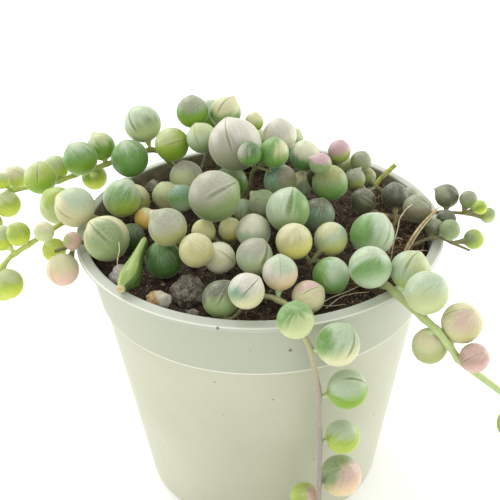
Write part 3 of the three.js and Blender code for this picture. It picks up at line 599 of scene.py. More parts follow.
class Graph:
    """A node tree, built a node at a time."""

    def __init__(self, tree):
        self.tree = tree

    def set(self, socket, value):
        """Links a wire to a socket, or several, or gives it a value. A colour may be its code."""
        if isinstance(value, Wire):
            self.tree.links.new(value.socket, socket)
        elif isinstance(value, list):
            for wire in value:
                self.set(socket, wire)
        elif socket.type == "RGBA" and isinstance(value, str):
            socket.default_value = (*tone(value), 1.0)
        else:
            socket.default_value = value

    def node(self, kind, inputs=None, **settings):
        """Adds a node: its settings first, then its inputs. Gives its first output in use."""
        node = self.tree.nodes.new(kind)
        for name, value in settings.items():
            setattr(node, name, value)
        for name, value in (inputs or {}).items():
            socket = node.inputs[name] if isinstance(name, int) else next(
                s for s in node.inputs if s.name == name and s.enabled)
            self.set(socket, value)
        outputs = [socket for socket in node.outputs if socket.enabled]
        return Wire(self, outputs[0]) if outputs else None


def operator(operation, swapped=False):
    """A method that joins a wire and another term in one node."""
    def method(self, other):
        return maths(operation, *((other, self) if swapped else (self, other)))
    return method


class Wire:
    """A node's output that can stand in a sum."""

    def __init__(self, graph, socket):
        self.graph = graph
        self.socket = socket

    def of(self, name):
        """Another output of the same node."""
        return Wire(self.graph, self.socket.node.outputs[name])

    __add__ = operator("ADD")
    __radd__ = operator("ADD", swapped=True)
    __sub__ = operator("SUBTRACT")
    __rsub__ = operator("SUBTRACT", swapped=True)
    __mul__ = operator("MULTIPLY")
    __rmul__ = operator("MULTIPLY", swapped=True)
    __truediv__ = operator("DIVIDE")

    def __neg__(self):
        return self * -1.0


def tone(code):
    """A colour as the eye names it, in the linear light that a finish is worked out in."""
    values = [int(code[i:i + 2], 16) / 255 for i in (1, 3, 5)]
    return [v / 12.92 if v <= 0.04045 else ((v + 0.055) / 1.055) ** 2.4 for v in values]


print("a middle grey in linear light:", [round(part, 3) for part in tone("#808080")])

# %% Sums of wires


def is_vector(term):
    if isinstance(term, Wire):
        return term.socket.type in ("VECTOR", "RGBA")
    return not isinstance(term, (int, float))


def added(kind, inputs, **settings):
    """A node in the tree that its first wire belongs to."""
    graph = next(term.graph for term in inputs.values() if isinstance(term, Wire))
    return graph.node(kind, inputs, **settings)


def maths(operation, *terms):
    """A Math node for numbers, and a Vector Math node where a term is a vector."""
    if not any(is_vector(term) for term in terms):
        return added("ShaderNodeMath", dict(enumerate(terms)), operation=operation)
    if operation == "MULTIPLY" and not all(is_vector(term) for term in terms):
        whole, scale = sorted(terms, key=is_vector, reverse=True)
        return added("ShaderNodeVectorMath", {0: whole, "Scale": scale}, operation="SCALE")
    return added("ShaderNodeVectorMath", dict(enumerate(terms)), operation=operation)


def dot(a, b):
    return maths("DOT_PRODUCT", a, b).of("Value")


def length(value):
    return maths("LENGTH", value).of("Value")


def way_of(value):
    """A vector at length 1."""
    return maths("NORMALIZE", value)


def vector(x=0.0, y=0.0, z=0.0):
    return added("ShaderNodeCombineXYZ", {"X": x, "Y": y, "Z": z})


def parts(value):
    split = added("ShaderNodeSeparateXYZ", {"Vector": value})
    return split, split.of("Y"), split.of("Z")


def held(value):
    """A value kept between 0 and 1."""
    return added("ShaderNodeClamp", {"Value": value})


def ramp(value, low, high, from_value=0.0, to_value=1.0):
    """Runs smoothly between two values as its input runs from low to high."""
    return added("ShaderNodeMapRange", {
        "Value": value, "From Min": low, "From Max": high,
        "To Min": from_value, "To Max": to_value}, interpolation_type="SMOOTHSTEP")


def fall(value, low, high):
    """Falls smoothly from 1 to 0 as its input runs from low to high."""
    return ramp(value, low, high, 1.0, 0.0)


def mix(factor, a, b):
    """Between two colours, each a wire or a code."""
    return added("ShaderNodeMix", {"Factor": factor, "A": a, "B": b}, data_type="RGBA")


def clouds(place, scale, detail=2.0, roughness=0.5):
    """Soft noise between 0 and 1, with so many waves in a unit of place."""
    return added("ShaderNodeTexNoise", {
        "Vector": place, "Scale": scale, "Detail": detail, "Roughness": roughness})


def cells(place, scale):
    """The distance to the nearest of many scattered points."""
    return added("ShaderNodeTexVoronoi", {"Vector": place, "Scale": scale})


# %% [markdown]
# ## Growing pieces with Geometry Nodes
#
# A leafy stem is a rule: a tube along a line, and on every marked point the same round leaf, sized,
# bent and pointed by what the point carries. So the script lays bare points and lines, one node tree
# grows them all, and the plain mesh that comes out is kept. The dry lines, the crumbs and the
# stones are grown in the same way, each by a tree of its own.

# %% Trees for shapes


class ShapeTree(Graph):
    """A tree for shapes, with one named input for each of its sizes and its materials."""

    def __init__(self, name, sizes, materials=("Finish",)):
        super().__init__(bpy.data.node_groups.new(name, "GeometryNodeTree"))
        sockets = self.tree.interface
        sockets.new_socket("Geometry", in_out="OUTPUT", socket_type="NodeSocketGeometry")
        sockets.new_socket("Geometry", in_out="INPUT", socket_type="NodeSocketGeometry")
        for label, value in sizes.items():
            kind = "NodeSocketInt" if isinstance(value, int) else "NodeSocketFloat"
            sockets.new_socket(label, in_out="INPUT", socket_type=kind).default_value = value
        for label in materials:
            sockets.new_socket(label, in_out="INPUT", socket_type="NodeSocketMaterial")
        entry = self.tree.nodes.new("NodeGroupInput")
        self.given = {socket.name: Wire(self, socket) for socket in entry.outputs if socket.name}

    def named(self, name, kind="FLOAT"):
        """A value that each point carries."""
        return self.node("GeometryNodeInputNamedAttribute", {"Name": name}, data_type=kind)

    def way(self, name):
        """A place or a way that each point carries."""
        return self.named(name, "FLOAT_VECTOR")

    def position(self):
        return self.node("GeometryNodeInputPosition")

    def stored(self, geometry, name, value, kind="FLOAT"):
        """The shape, with a value put on each of its points."""
        return self.node("GeometryNodeStoreNamedAttribute", {
            "Geometry": geometry, "Name": name, "Value": value}, data_type=kind)

    def moved(self, geometry, **change):
        return self.node("GeometryNodeSetPosition", {"Geometry": geometry, **change})

    def real_copies(self, points, shape, **turn_and_size):
        """A real copy of a shape on each point."""
        copies = self.node("GeometryNodeInstanceOnPoints", {
            "Points": points, "Instance": shape, **turn_and_size})
        return self.node("GeometryNodeRealizeInstances", {"Geometry": copies})

    def balls(self, points, ball):
        """A ball on each point, of which every vertex knows its place on the bare ball."""
        marked = self.stored(ball, "on_ball", self.position(), "FLOAT_VECTOR")
        return self.real_copies(points, marked)

    def tube(self, line, sides):
        """A tube along a marked line, as thick as each of its points says."""
        ring = self.node("GeometryNodeCurvePrimitiveCircle", {"Resolution": sides, "Radius": 1.0})
        return self.node("GeometryNodeCurveToMesh", {
            "Curve": self.node("GeometryNodeMeshToCurve", {"Mesh": line}), "Profile Curve": ring,
            "Scale": self.named("girth"), "Fill Caps": True})

    def smooth(self, geometry):
        return self.node("GeometryNodeSetShadeSmooth", {"Geometry": geometry})

    def painted(self, geometry, label="Finish"):
        """The shape in the material of the input with that label."""
        return self.node("GeometryNodeSetMaterial", {
            "Geometry": geometry, "Material": self.given[label]})

    def close(self, geometry):
        """Hands the finished shape out of the tree."""
        self.node("NodeGroupOutput", {"Geometry": geometry})
        print(self.tree.name + ":", len(self.tree.nodes), "nodes")


# %% From a tree or a mesh to a finished piece


def finished(piece, node=None):
    """Makes a piece ride on the root, and hides the imported part that it stands for."""
    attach(piece, "root")
    if node:
        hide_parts(node)
    print(f"{piece.name}: {len(piece.data.polygons)} faces")


def placed(name, data, material=None):
    """A new object for a mesh, a lamp or a lens, at the origin."""
    piece = bpy.data.objects.new(name, data)
    scene.collection.objects.link(piece)
    if material:
        data.materials.append(material)
    return piece


def plain_mesh(piece):
    """What a piece's modifiers make of it, as a plain mesh."""
    return bpy.data.meshes.new_from_object(
        piece.evaluated_get(bpy.context.evaluated_depsgraph_get()))


def grown(name, mesh, shape_tree, inputs):
    """Runs a tree on a mesh and keeps the plain mesh that comes out."""
    seed = placed(name + "_seed", mesh)
    growth = seed.modifiers.new("growth", "NODES")
    growth.node_group = shape_tree.tree
    for item in shape_tree.tree.interface.items_tree:
        if item.in_out == "INPUT" and item.name in inputs:
            growth[item.identifier] = inputs[item.name]
    plain = plain_mesh(seed)
    bpy.data.objects.remove(seed)
    plain.name = name
    return placed(name, plain)


def add_marks(mesh, marks):
    """Puts named numbers and named vectors on the points of a mesh."""
    for label, values in marks.items():
        values = np.asarray(values, np.float32)
        kind, part = ("FLOAT_VECTOR", "vector") if values.ndim == 2 else ("FLOAT", "value")
        mesh.attributes.new(label, kind, "POINT").data.foreach_set(part, values.ravel())


def marked_mesh(name, places, edges=(), **marks):
    """Bare points, from millimetres, with lines between them and named values on them."""
    mesh = bpy.data.meshes.new(name)
    mesh.from_pydata((np.asarray(places) * MM).tolist(), list(edges), [])
    add_marks(mesh, marks)
    return mesh


# %% [markdown]
# ### The leafy stems
#
# A leaf of this plant is a ball with a small point, on a stalk that thickens into it. The ball and
# its stalk are turned like a lathe profile on the rings of a sphere: the lowest rings become the
# stalk and the highest the point. Then the profile is bent, ring by ring, from the way that it
# leaves the stem to the way that its point faces.

# %% What a leaf's points carry
LEAF_RINGS = 30
STALK_RINGS = 7
CHANCE_STEP = 900.0
BULGE_SCALE = 0.8

leafy = ShapeTree("leafy stem", {
    "Leaf sides": 32, "Leaf rings": LEAF_RINGS, "Stalk share": STALK_RINGS / LEAF_RINGS,
    "Stalk radius": 0.42 * MM, "Base radius": 0.95 * MM, "Stalk sunk": 0.5 * MM,
    "Point length": 0.15, "Point width": 0.3, "Unevenness": 0.045, "Stem sides": 14},
    ["Leaf finish", "Stem finish"])
given = leafy.given
parted = leafy.node("GeometryNodeSeparateGeometry", {
    "Geometry": given["Geometry"], "Selection": leafy.named("is_leaf")}, domain="POINT")
sphere = leafy.node("GeometryNodeMeshUVSphere", {
    "Segments": given["Leaf sides"], "Rings": given["Leaf rings"], "Radius": 1.0})
leaves = leafy.balls(parted, sphere)

# Each vertex knows its leaf's centre, foot and tip, and by its ring how far up the leaf it is.
centre, foot, tip = leafy.way("centre"), leafy.way("foot"), leafy.way("tip")
across, along, height = parts(leafy.way("on_ball"))
outward = way_of(vector(across, along))
share = maths("ARCCOSINE", -height) / math.pi
stalk_share = given["Stalk share"]
up_stalk = held(share / stalk_share)
up_ball = held((share - stalk_share) / (1.0 - stalk_share))

# The ball bulges a little here and there, each leaf in its own way.
bulge = clouds(leafy.way("on_ball") * BULGE_SCALE + centre * CHANCE_STEP, 1.0, 1.0)
radius = leafy.named("radius") * (1.0 - given["Unevenness"] * bulge)
print("leafy stem's tree so far:", len(leafy.tree.nodes), "nodes")

# %% The leaf's profile
LARGEST_BASE = 0.9
POINT_NARROWING = 0.22
TIP_CROWDING = 1.3
FOOT_CLOSING = 60.0
NEAR_ONE = 0.9999

# The ball's profile starts where the stalk's end is as wide as it, and ends in the point.
first_angle = maths("ARCSINE", maths("MINIMUM", given["Base radius"] / radius, LARGEST_BASE))
up_ball = 1.0 - maths("POWER", 1.0 - up_ball, TIP_CROWDING)
angle = first_angle + (math.pi - first_angle) * up_ball
from_tip = (math.pi - angle) / given["Point width"]
point = maths("EXPONENT", -(from_tip * from_tip)) * leafy.named("sharpness")
ball_ring = radius * maths("SINE", angle) * (1.0 - POINT_NARROWING * point)
ball_height = radius * (given["Point length"] * point - maths("COSINE", angle))

# The stalk's profile starts inside the stem, closed, and flares into the ball.
stalk_bottom = -(length(foot - centre) + given["Stalk sunk"])
flare = up_stalk * up_stalk * up_stalk
stalk_width = given["Stalk radius"] + (given["Base radius"] - given["Stalk radius"]) * flare
stalk_ring = stalk_width * maths("MINIMUM", up_stalk * FOOT_CLOSING, 1.0)
stalk_top = -(radius * maths("COSINE", first_angle))
stalk_height = stalk_bottom + (stalk_top - stalk_bottom) * up_stalk
in_stalk = maths("LESS_THAN", up_stalk, NEAR_ONE)
ring = ball_ring + (stalk_ring - ball_ring) * in_stalk
level = ball_height + (stalk_height - ball_height) * in_stalk
print("leafy stem's tree so far:", len(leafy.tree.nodes), "nodes")

# %% Bend the leaf, and lay the stem
LARGEST_COSINE = 0.99999

# The straight leaf stands on its foot, and is bent more the nearer a ring is to the tip.
from_foot = way_of(centre - foot)
straight = leafy.node("FunctionNodeRotateVector", {
    "Vector": outward * ring + vector(0.0, 0.0, level),
    "Rotation": leafy.node("FunctionNodeAlignRotationToVector", {"Vector": from_foot}, axis="Z")})
bend_share = 0.5 + maths("ARCTAN2", level, ring) / math.pi
bend = maths("ARCCOSINE", maths("MINIMUM", dot(from_foot, tip), LARGEST_COSINE))
bent = leafy.node("ShaderNodeVectorRotate", {
    "Vector": straight, "Axis": maths("CROSS_PRODUCT", from_foot, tip),
    "Angle": bend * bend_share}, rotation_type="AXIS_ANGLE")
leaves = leafy.stored(leafy.moved(leaves, Position=centre + bent), "up_leaf", share)

stem_tube = leafy.tube(parted.of("Inverted"), given["Stem sides"])
leafy.close(leafy.smooth(leafy.node("GeometryNodeJoinGeometry", {
    "Geometry": [leafy.painted(leaves, "Leaf finish"), leafy.painted(stem_tube, "Stem finish")]})))

# %% [markdown]
# ## Finishes
#
# A leaf of the variegated plant is green where it holds its colour and cream or pink where it has
# lost it. The colours run in streaks from the leaf's foot to its point, the underside is painted with
# the glow of light that comes through it, and one clear dark line, the window, runs down from the
# point. So each leaf carries its own colours and the ways that its patch and its window face, and one
# finish reads them.

# %% A finish and its parts
PER_METRE = 1000.0
PALETTE = {
    "ivory": "#c9c8ae", "cream": "#c0bd94", "pale": "#abb584", "spring": "#94a73c",
    "lime": "#6f9016", "sun": "#b2bd44", "green": "#5f8a3c", "deep": "#3d6224",
    "teal": "#66886c", "mint": "#a3b396", "olive": "#8f9356", "sage": "#7c8f5c",
    "grey": "#858a6e", "dove": "#9b9a88", "lilac": "#bcb9ac", "pink": "#c0a299",
    "rose": "#a58a7c", "mauve": "#b3939a", "peach": "#cab38c", "straw": "#aba775",
    "butter": "#d6d49a", "yellow": "#c4c26c", "honey": "#d0ad50", "brown": "#776b54",
    "dark": "#53573e", "night": "#424532",
}


class Finish(Graph):
    """A material. It knows its place on the piece, in metres and in millimetres."""

    def __init__(self, name, **settings):
        self.material = bpy.data.materials.new(name)
        self.material.use_nodes = True
        super().__init__(self.material.node_tree)
        self.shader = next(n for n in self.tree.nodes if n.type == "BSDF_PRINCIPLED").inputs
        for label, value in settings.items():
            self.set(self.shader[label.replace("_", " ")], value)
        self.place = self.node("ShaderNodeTexCoord").of("Object")
        self.place_mm = self.place * PER_METRE

    def carried(self, name, output="Fac"):
        """A number that the mesh carries."""
        return self.node("ShaderNodeAttribute", attribute_name=name).of(output)

    def way(self, name):
        """A place, a way or a colour that the mesh carries."""
        return self.carried(name, "Vector")

    def grain(self, scale, detail=2.0, roughness=0.5):
        """Noise with so many waves in a millimetre."""
        return clouds(self.place_mm, scale, detail, roughness)

    def skin(self, colour, roughness, relief, depth, strength):
        """Gives the finish its colour, its roughness and its relief, whose depth is in metres."""
        self.set(self.shader["Base Color"], colour)
        self.set(self.shader["Roughness"], roughness)
        self.set(self.shader["Normal"], self.node("ShaderNodeBump", {
            "Height": relief, "Distance": depth, "Strength": strength}))
        print(self.material.name + ":", len(self.tree.nodes), "nodes")


print("colour words:", len(PALETTE))

# %% The leaf's colours
LIGHT_WAY = unit(np.array([-0.25, 0.25, 0.9]))
CHANCE_SHIFT = 700.0
STROKE_SHIFT = (3.0, 5.0, 1.0)

finish = Finish(
    "leaf", Subsurface_Weight=0.55, Subsurface_Radius=(1.0, 1.0, 0.5), Subsurface_Scale=0.0022,
    Coat_Weight=0.1, Coat_Roughness=0.35, Sheen_Weight=0.4, Sheen_Roughness=0.3,
    Sheen_Tint=(0.86, 0.94, 0.62, 1.0), IOR=1.4)
around_leaf = way_of(finish.place - finish.way("centre"))
tip_way = finish.way("tip")
along_leaf = dot(around_leaf, tip_way)
meridian = way_of(around_leaf - tip_way * along_leaf)
streak_place = meridian * 1.6 + tip_way * (along_leaf * 0.3) + finish.way("centre") * CHANCE_SHIFT
broad = clouds(streak_place, 1.6)
fine = clouds(streak_place, 6.5, 3.0, 0.6)
mottle = finish.grain(1.8)
powder = finish.grain(6.0, 2.0, 0.6)

# Base colour with paler streaks, then the patch with a streaked edge, then the underside's painted glow.
base = finish.way("base")
colour = mix(ramp(fine, 0.45, 0.68) * 0.4, base, base * 1.25 + (0.06, 0.06, 0.05))
patch_edge = finish.carried("patch_edge")
patch_reach = (dot(around_leaf, finish.way("patch_way"))
               + (broad - 0.5) * 1.0 + (fine - 0.5) * 0.2)
in_patch = ramp(patch_reach, patch_edge - 0.18, patch_edge + 0.3)
strokes = ramp(clouds(streak_place + STROKE_SHIFT, 4.5, 3.0, 0.6), 0.56, 0.72)
colour = mix(in_patch * 0.95, colour, finish.way("patch"))
colour = mix(strokes * 0.3, colour, finish.way("patch"))
# The side away from the light takes the low colour, a painted glow of light through the leaf.
underside = ramp(dot(around_leaf, tuple(-LIGHT_WAY)) + (mottle - 0.5) * 0.25, -0.35, 0.6)
colour = mix(underside * 0.85, colour, finish.way("low"))
print("leaf finish so far:", len(finish.tree.nodes), "nodes")

# %% The leaf's window, point and bloom
# The window: a thin line along the meridian that faces the given way, with a painted highlight along its
# rim.
window_way = finish.way("window")
window_side = way_of(maths("CROSS_PRODUCT", tip_way, window_way))
off_line = maths("ABSOLUTE", dot(around_leaf, window_side) + (broad - 0.5) * 0.05)
facing = dot(meridian, window_way)
widths_off = off_line / (finish.carried("window_width") * (1.0 - along_leaf * along_leaf * 0.75))
on_side = (ramp(facing, 0.05, 0.3) * ramp(along_leaf, -0.5, 0.05)
           * finish.carried("window_depth"))
in_window = fall(widths_off, 0.2, 1.0) * on_side
window_highlight = ramp(widths_off, 0.9, 1.25) * fall(widths_off, 1.4, 2.2) * on_side
colour = mix(window_highlight * 0.2, colour, "#d6d8bc")
colour = mix(in_window * 0.75, colour, "#646d38")

# The point is pale, the stalk is as the stem, and a thin pale bloom is painted over the upper side: partly
# the wax's own colour, partly painted light from above.
at_point = ramp(along_leaf, 0.965, 0.998) * finish.carried("sharpness")
colour = mix(at_point * 0.22, colour, "#dcd8bc")
colour = mix(fall(finish.carried("up_leaf"), 0.2, 0.27), colour, finish.way("stalk_tint"))
upper_light_and_bloom = ramp(parts(around_leaf)[2], 0.1, 0.95)
colour = mix(ramp(mottle, 0.3, 0.75) * upper_light_and_bloom * 0.1, colour, "#ffffff")
colour = mix(ramp(powder, 0.5, 0.72) * 0.1, colour, "#f4f2e0")
finish.skin(colour, 0.34 + mottle * 0.16, fine * 0.4 + mottle * 0.15 - in_window, 0.00022, 0.7)
leaf_finish = finish.material

# %% The stems' finish
finish = Finish(
    "stem", Subsurface_Weight=0.25, Subsurface_Radius=(1.0, 0.9, 0.4), Subsurface_Scale=0.0012,
    IOR=1.4, Coat_Weight=0.08)
grain = finish.grain(1.3, 3.0)
tint = finish.way("tint")
colour = mix(ramp(grain, 0.4, 0.75) * 0.4, tint, mix(0.6, tint, "#8a7560"))
colour = mix(ramp(finish.grain(2.4), 0.6, 0.72) * 0.3, colour, "#e6e2c4")
finish.skin(colour, 0.42 + grain * 0.2, grain, 0.00015, 0.6)
stem_finish = finish.material

# %% [markdown]
# ### Each leaf's looks
#
# On the real plant no two leaves are alike, so each listed leaf is described in a few words: its own
# colour, its patch's colour, the hour at which the patch sits (c for the middle) and how much it
# covers, the colour of the underside's painted glow, and, where its window shows, the window's hour,
# how dark it is and how wide. Leaves beyond a strand's list take its last line.

# %% How each leaf looks
LOOKS = {
    "left_high": """
        spring pale 11 .25 lime
        mint sage 5 .3 pale 9.5 1 .1
        green mint 12 .1 green
        green pale 12 .3 lime
        lime spring 12 .3 sun
        green mint 12 .12 lime
        spring pale 11 .6 sun
        spring pale 11 .15 lime 12 .9
        pale cream 12 .4 sun
        pale spring 6 .4 sun
        spring pale 12 .3 sun""",
    "left_low": """
        cream mint 1.5 .4 cream 6 .6
        pale spring 12 .35 pale
        pale cream 12 .3 pale
        sun spring 6 .2 sun
        lime spring 12 .4 sun
        spring pale 12 .3 sun
        spring pale 12 .3 sun""",
    "left_side": """
        cream sage c .3 sage 10.5 .9 .09
        rose olive 9 .3 rose
        peach cream 12 .4 pink""",
    # In left_inner the last leaf is painted dark, as painted shade where its neighbours hide it from the
    # light.
    "left_inner": """
        mint green c .2 spring 1.5 .4
        olive cream 12 .3 olive
        cream honey 8 .5 honey
        night deep 12 .2 deep""",
    "front_trail": """
        lilac mint 1 .3 peach 12 .4
        cream pink 12 .15 cream 1 .7
        green pale 5 .4 pale
        mint green 9 .25 cream 3 .9 .1
        lime mint 12 .5 lime 12 1 .09
        spring mint 12 .3 spring 3 .3
        sage pink 3.5 .35 peach 3 .3
        spring pink 3 .3 spring
        spring pale 12 .3 lime""",
    "right_trail": """
        mint green 9 .35 mint 4 .7 .11
        mint green 6 .5 mint
        mint pale 2 .4 spring 8 .9 .1
        mint pale 6 .35 pale
        pale cream 12 .4 olive
        cream pink c .14 straw
        rose pink 12 .3 pink
        spring pale 12 .3 lime""",
    "far_right": """
        night dark 3 .3 night 12 .9
        brown grey 12 .35 dark 1.5 1 .1
        dark grey 9 .3 dark 1 .8
        deep dark 12 .4 deep
        sage grey 12 .4 sage
        spring lime 6 .4 sun
        sage spring 9 .25 pale""",
    "far_low": """
        dark grey 12 .3 dark
        grey sage 12 .4 sage
        spring sage 9 .3 spring""",
    "right_dark": """
        night dark 12 .3 dark 4 .8 .16
        sage grey 12 .4 olive 12 .8
        sage olive 12 .4 sage
        grey dove 12 .3 grey""",
    "pink_back": """
        sage olive 12 .3 green
        sage mauve 12 .4 sage
        teal ivory 1 .5 green
        mauve mauve 12 .4 spring
        sage grey 12 .4 grey
        sage olive 12 .4 olive""",
    "back_ridge": """
        mint pale 12 .3 sage
        green grey 12 .4 lime
        green cream 12 .5 sage 12 .9 .1
        pale cream 12 .4 spring
        ivory lilac 12 .4 ivory 1 .3""",
    "crown_white": """
        lilac dove 7 .3 grey 11 .9
        deep dove 9 .24 green
        green cream 3 .25 green""",
    # In crown_grey the second leaf is painted paler, as painted light against the shade that it lies in.
    "crown_grey": """
        green sage 12 .3 green
        pale mint c .3 pale
        sage dove 10.5 .55 sage 8 .9 .1
        teal green 6 .4 mint
        pale olive 6 .2 cream
        dove pale 6 .5 cream""",
    # In crown_green the last leaf is painted paler, as painted light against the shade that it lies in.
    "crown_green": """
        mint green 2.5 .25 sage 12.5 1 .15
        grey sage 12 .3 grey
        teal dark 12 .25 grey 12.5 .9
        teal brown 3 .35 sage
        cream sage 5 .35 mint""",
    # In front_pale the fifth leaf is painted paler, as painted light against the shade that it lies in.
    "front_pale": """
        deep green 12 .15 deep
        grey dove c .2 olive
        straw cream 12 .2 straw
        cream ivory 12 .3 ivory 3 .7
        butter butter 12 .2 butter
        cream butter 12 .4 yellow""",
    # In front_white the last leaf's upper side is painted dark, as painted shade.
    "front_white": """
        mint ivory 12 .4 mint
        mint dove 12 .3 pale 5 1 .16
        lilac teal 7.5 .25 cream 1.5 .9 .08
        dark sage 6 .4 sage 1 1 .09""",
    "front_yellow": """
        straw cream 12 .25 yellow
        mint cream 11 .25 yellow
        green mint 3 .5 green""",
    "back_creeper": """
        green pale 12 .4 lime""",
    "back_trail": """
        green mint 12 .4 lime""",
}
# A stem's tints run from its root to its end; the dark tints at the roots are painted shade under the
# leaves.
STEM_TINTS = {
    "front_trail": ["#9c9474", "#b3b47e", "#a0968b", "#958b87", "#a09a80", "#a7b98a"],
    "right_trail": ["#7d7852", "#b2c283", "#b6cc8c", "#bcd29a"],
    "left_high": ["#6c6a3c", "#9ead56", "#b0c262", "#b6ca70"],
    "left_low": ["#8a8a4c", "#aebb62", "#bccb70", "#c2d480"],
    "far_right": ["#7a6d52", "#7d7250", "#767445"],
    "far_low": ["#6e6a4c", "#73734c"],
}
# Stems without tints of their own also darken to painted shade at the root.
PLAIN_STEM = ["#3a3524", "#55543a", "#6c7044"]
SHARP = {"far_right": 2, "crown_green": 1, "pink_back": 1, "right_dark": 1, "front_pale": 1,
         "back_ridge": 2, "left_high": 3}
print("lines of looks:", sum(len(lines.split("\n")) - 1 for lines in LOOKS.values()))

# %% From words to values
# The underside's colour is made brighter by this much, up to a limit, as a painted glow of light through
# the leaf.
GLOW = 1.3
GLOW_LIMIT = 0.82
PATCH_REACH = 1.6
PATCH_TO_VIEWER = 0.75
WINDOW_OFF_CENTRE = 0.8

# A window that the words leave out faces a way of chance, and has this depth and width.
PLAIN_WINDOW = [None, 0.6, 0.065]
WINDOW_TURN = 7.0
WINDOW_RISE = 0.3


def look_of(words, leaf):
    """What one leaf carries, from its line of words."""
    base, patch, hour, cover, low, *window = words.split()
    patch_way = (TO_VIEWER if hour == "c"
                 else unit(TO_VIEWER * PATCH_TO_VIEWER + on_clock(float(hour))))
    hour, depth, width = [float(word) for word in window] + PLAIN_WINDOW[len(window):]
    if hour is None:
        turn = WINDOW_TURN * leaf
        window_way = np.array([math.cos(turn), math.sin(turn), WINDOW_RISE])
    else:
        window_way = unit(TO_VIEWER + on_clock(hour) * WINDOW_OFF_CENTRE)
    window_way = unit(window_way - tips[leaf] * float(window_way @ tips[leaf]))
    return {"base": tone(PALETTE[base]), "patch": tone(PALETTE[patch]),
            "low": [min(GLOW_LIMIT, GLOW * part) for part in tone(PALETTE[low])],
            "patch_way": patch_way, "patch_edge": 1 - PATCH_REACH * float(cover),
            "window": window_way, "window_depth": depth, "window_width": width}


print("a leaf's own values:", ", ".join(look_of("mint cream 12 .3 pale", 0)))

# %% The stems' lines
LINE_STEP = 0.7
STEM_SLIMNESS = 0.88
NODE_SWELL = 0.28
NODE_WIDTH = 0.9
END_TAPER = 0.45


def stem_line(stem, own, thick, tints):
    """A stem's fine centre line, its thickness along it, and its tint."""
    steps = int(stem.length / LINE_STEP)
    line = stem.spaced(steps)
    share = np.linspace(0, 1, steps + 1)
    gap = np.linalg.norm(line[:, None] - feet[own][None], axis=2).min(1)
    swell = 1 + NODE_SWELL * np.exp(-(gap / NODE_WIDTH) ** 2)
    taper = 1 - END_TAPER * share ** 3
    colours = np.array([tone(code) for code in tints])
    knots = np.linspace(0, 1, len(colours))
    tint = np.column_stack([np.interp(share, knots, colours[:, k]) for k in range(3)])
    return line, thick * STEM_SLIMNESS * swell * taper, tint


first_line = stem_line(stems[0], own_leaves[0], thickness[0], PLAIN_STEM)[0]
print("the first stem's line:", len(first_line), "points")

# %% Grow the nineteen strands
SHARP_POINT = 1.7
BLUNT_POINT = 0.5

for number, (strand, stem) in enumerate(zip(STRANDS, stems)):
    name, own = strand["name"], own_leaves[number]
    lines = LOOKS[name].strip().splitlines()
    looks = [look_of(lines[min(i, len(lines) - 1)], leaf) for i, leaf in enumerate(own)]
    tints = STEM_TINTS.get(name, PLAIN_STEM)
    line, girth, tint = stem_line(stem, own, thickness[number], tints)
    sharpness = [SHARP_POINT if i == SHARP.get(name) else BLUNT_POINT for i in range(len(own))]
    on_leaves = {label: [look[label] for look in looks] for label in looks[0]}
    on_leaves |= {"centre": centres[own] * MM, "foot": feet[own] * MM, "tip": tips[own],
                  "radius": radii[own] * MM, "is_leaf": np.ones(len(own)),
                  "stalk_tint": [tone(tints[-1])] * len(own), "sharpness": sharpness}
    on_line = {"girth": girth * MM, "tint": tint}

    # A mark on the leaves is nothing on the stem's line, and the other way round.
    marks = {}
    for label, values in on_leaves.items():
        values = np.asarray(values, float)
        marks[label] = np.concatenate([values, np.zeros((len(line), *values.shape[1:]))])
    for label, values in on_line.items():
        marks[label] = np.concatenate([np.zeros((len(own), *values.shape[1:])), values])
    edges = [(i, i + 1) for i in range(len(own), len(own) + len(line) - 1)]
    seed_mesh = marked_mesh(name + "_lines", np.vstack([centres[own], line]), edges, **marks)
    finished(grown(name + "_plant", seed_mesh, leafy, {
        "Leaf finish": leaf_finish, "Stem finish": stem_finish}), node=name)

# %% [markdown]
# ## The pot
#
# A nursery pot is thin plastic, formed over a mould, so it is all one turned profile: a tapering
# wall, a ledge, a band that flares a little, and a lip with a narrow edge. A plain list of radius and
# height turned round the axis gives it exactly. Its corners are eased, because a sharp corner never
# catches the light as plastic does. The drain holes are cut afterwards, with a Boolean.

# %% Turned shapes
EASE_STEPS = 5
EASE_ROOM = 0.42
SUPPORT = 0.25
SUPPORT_ROOM = 4


def eased(section, reach):
    """A section with its corners rounded, and a point on each side to hold the flats flat."""
    rows = [np.array(row, float) for row in section]
    out = [rows[0]]
    for before, corner, after in zip(rows, rows[1:], rows[2:]):
        gap_before, gap_after = np.linalg.norm(before - corner), np.linalg.norm(after - corner)
        size = min(reach, min(gap_before, gap_after) * EASE_ROOM)
        into, out_of = unit(before - corner) * size, unit(after - corner) * size
        if gap_before > SUPPORT_ROOM * (size + SUPPORT):
            out.append(corner + into * (1 + SUPPORT / size))
        for t in np.linspace(0, 1, EASE_STEPS + 1):
            out.append(corner + into * (1 - t) ** 2 + out_of * t ** 2)
        if gap_after > SUPPORT_ROOM * (size + SUPPORT):
            out.append(corner + out_of * (1 + SUPPORT / size))
    return np.array(out + [rows[-1]])


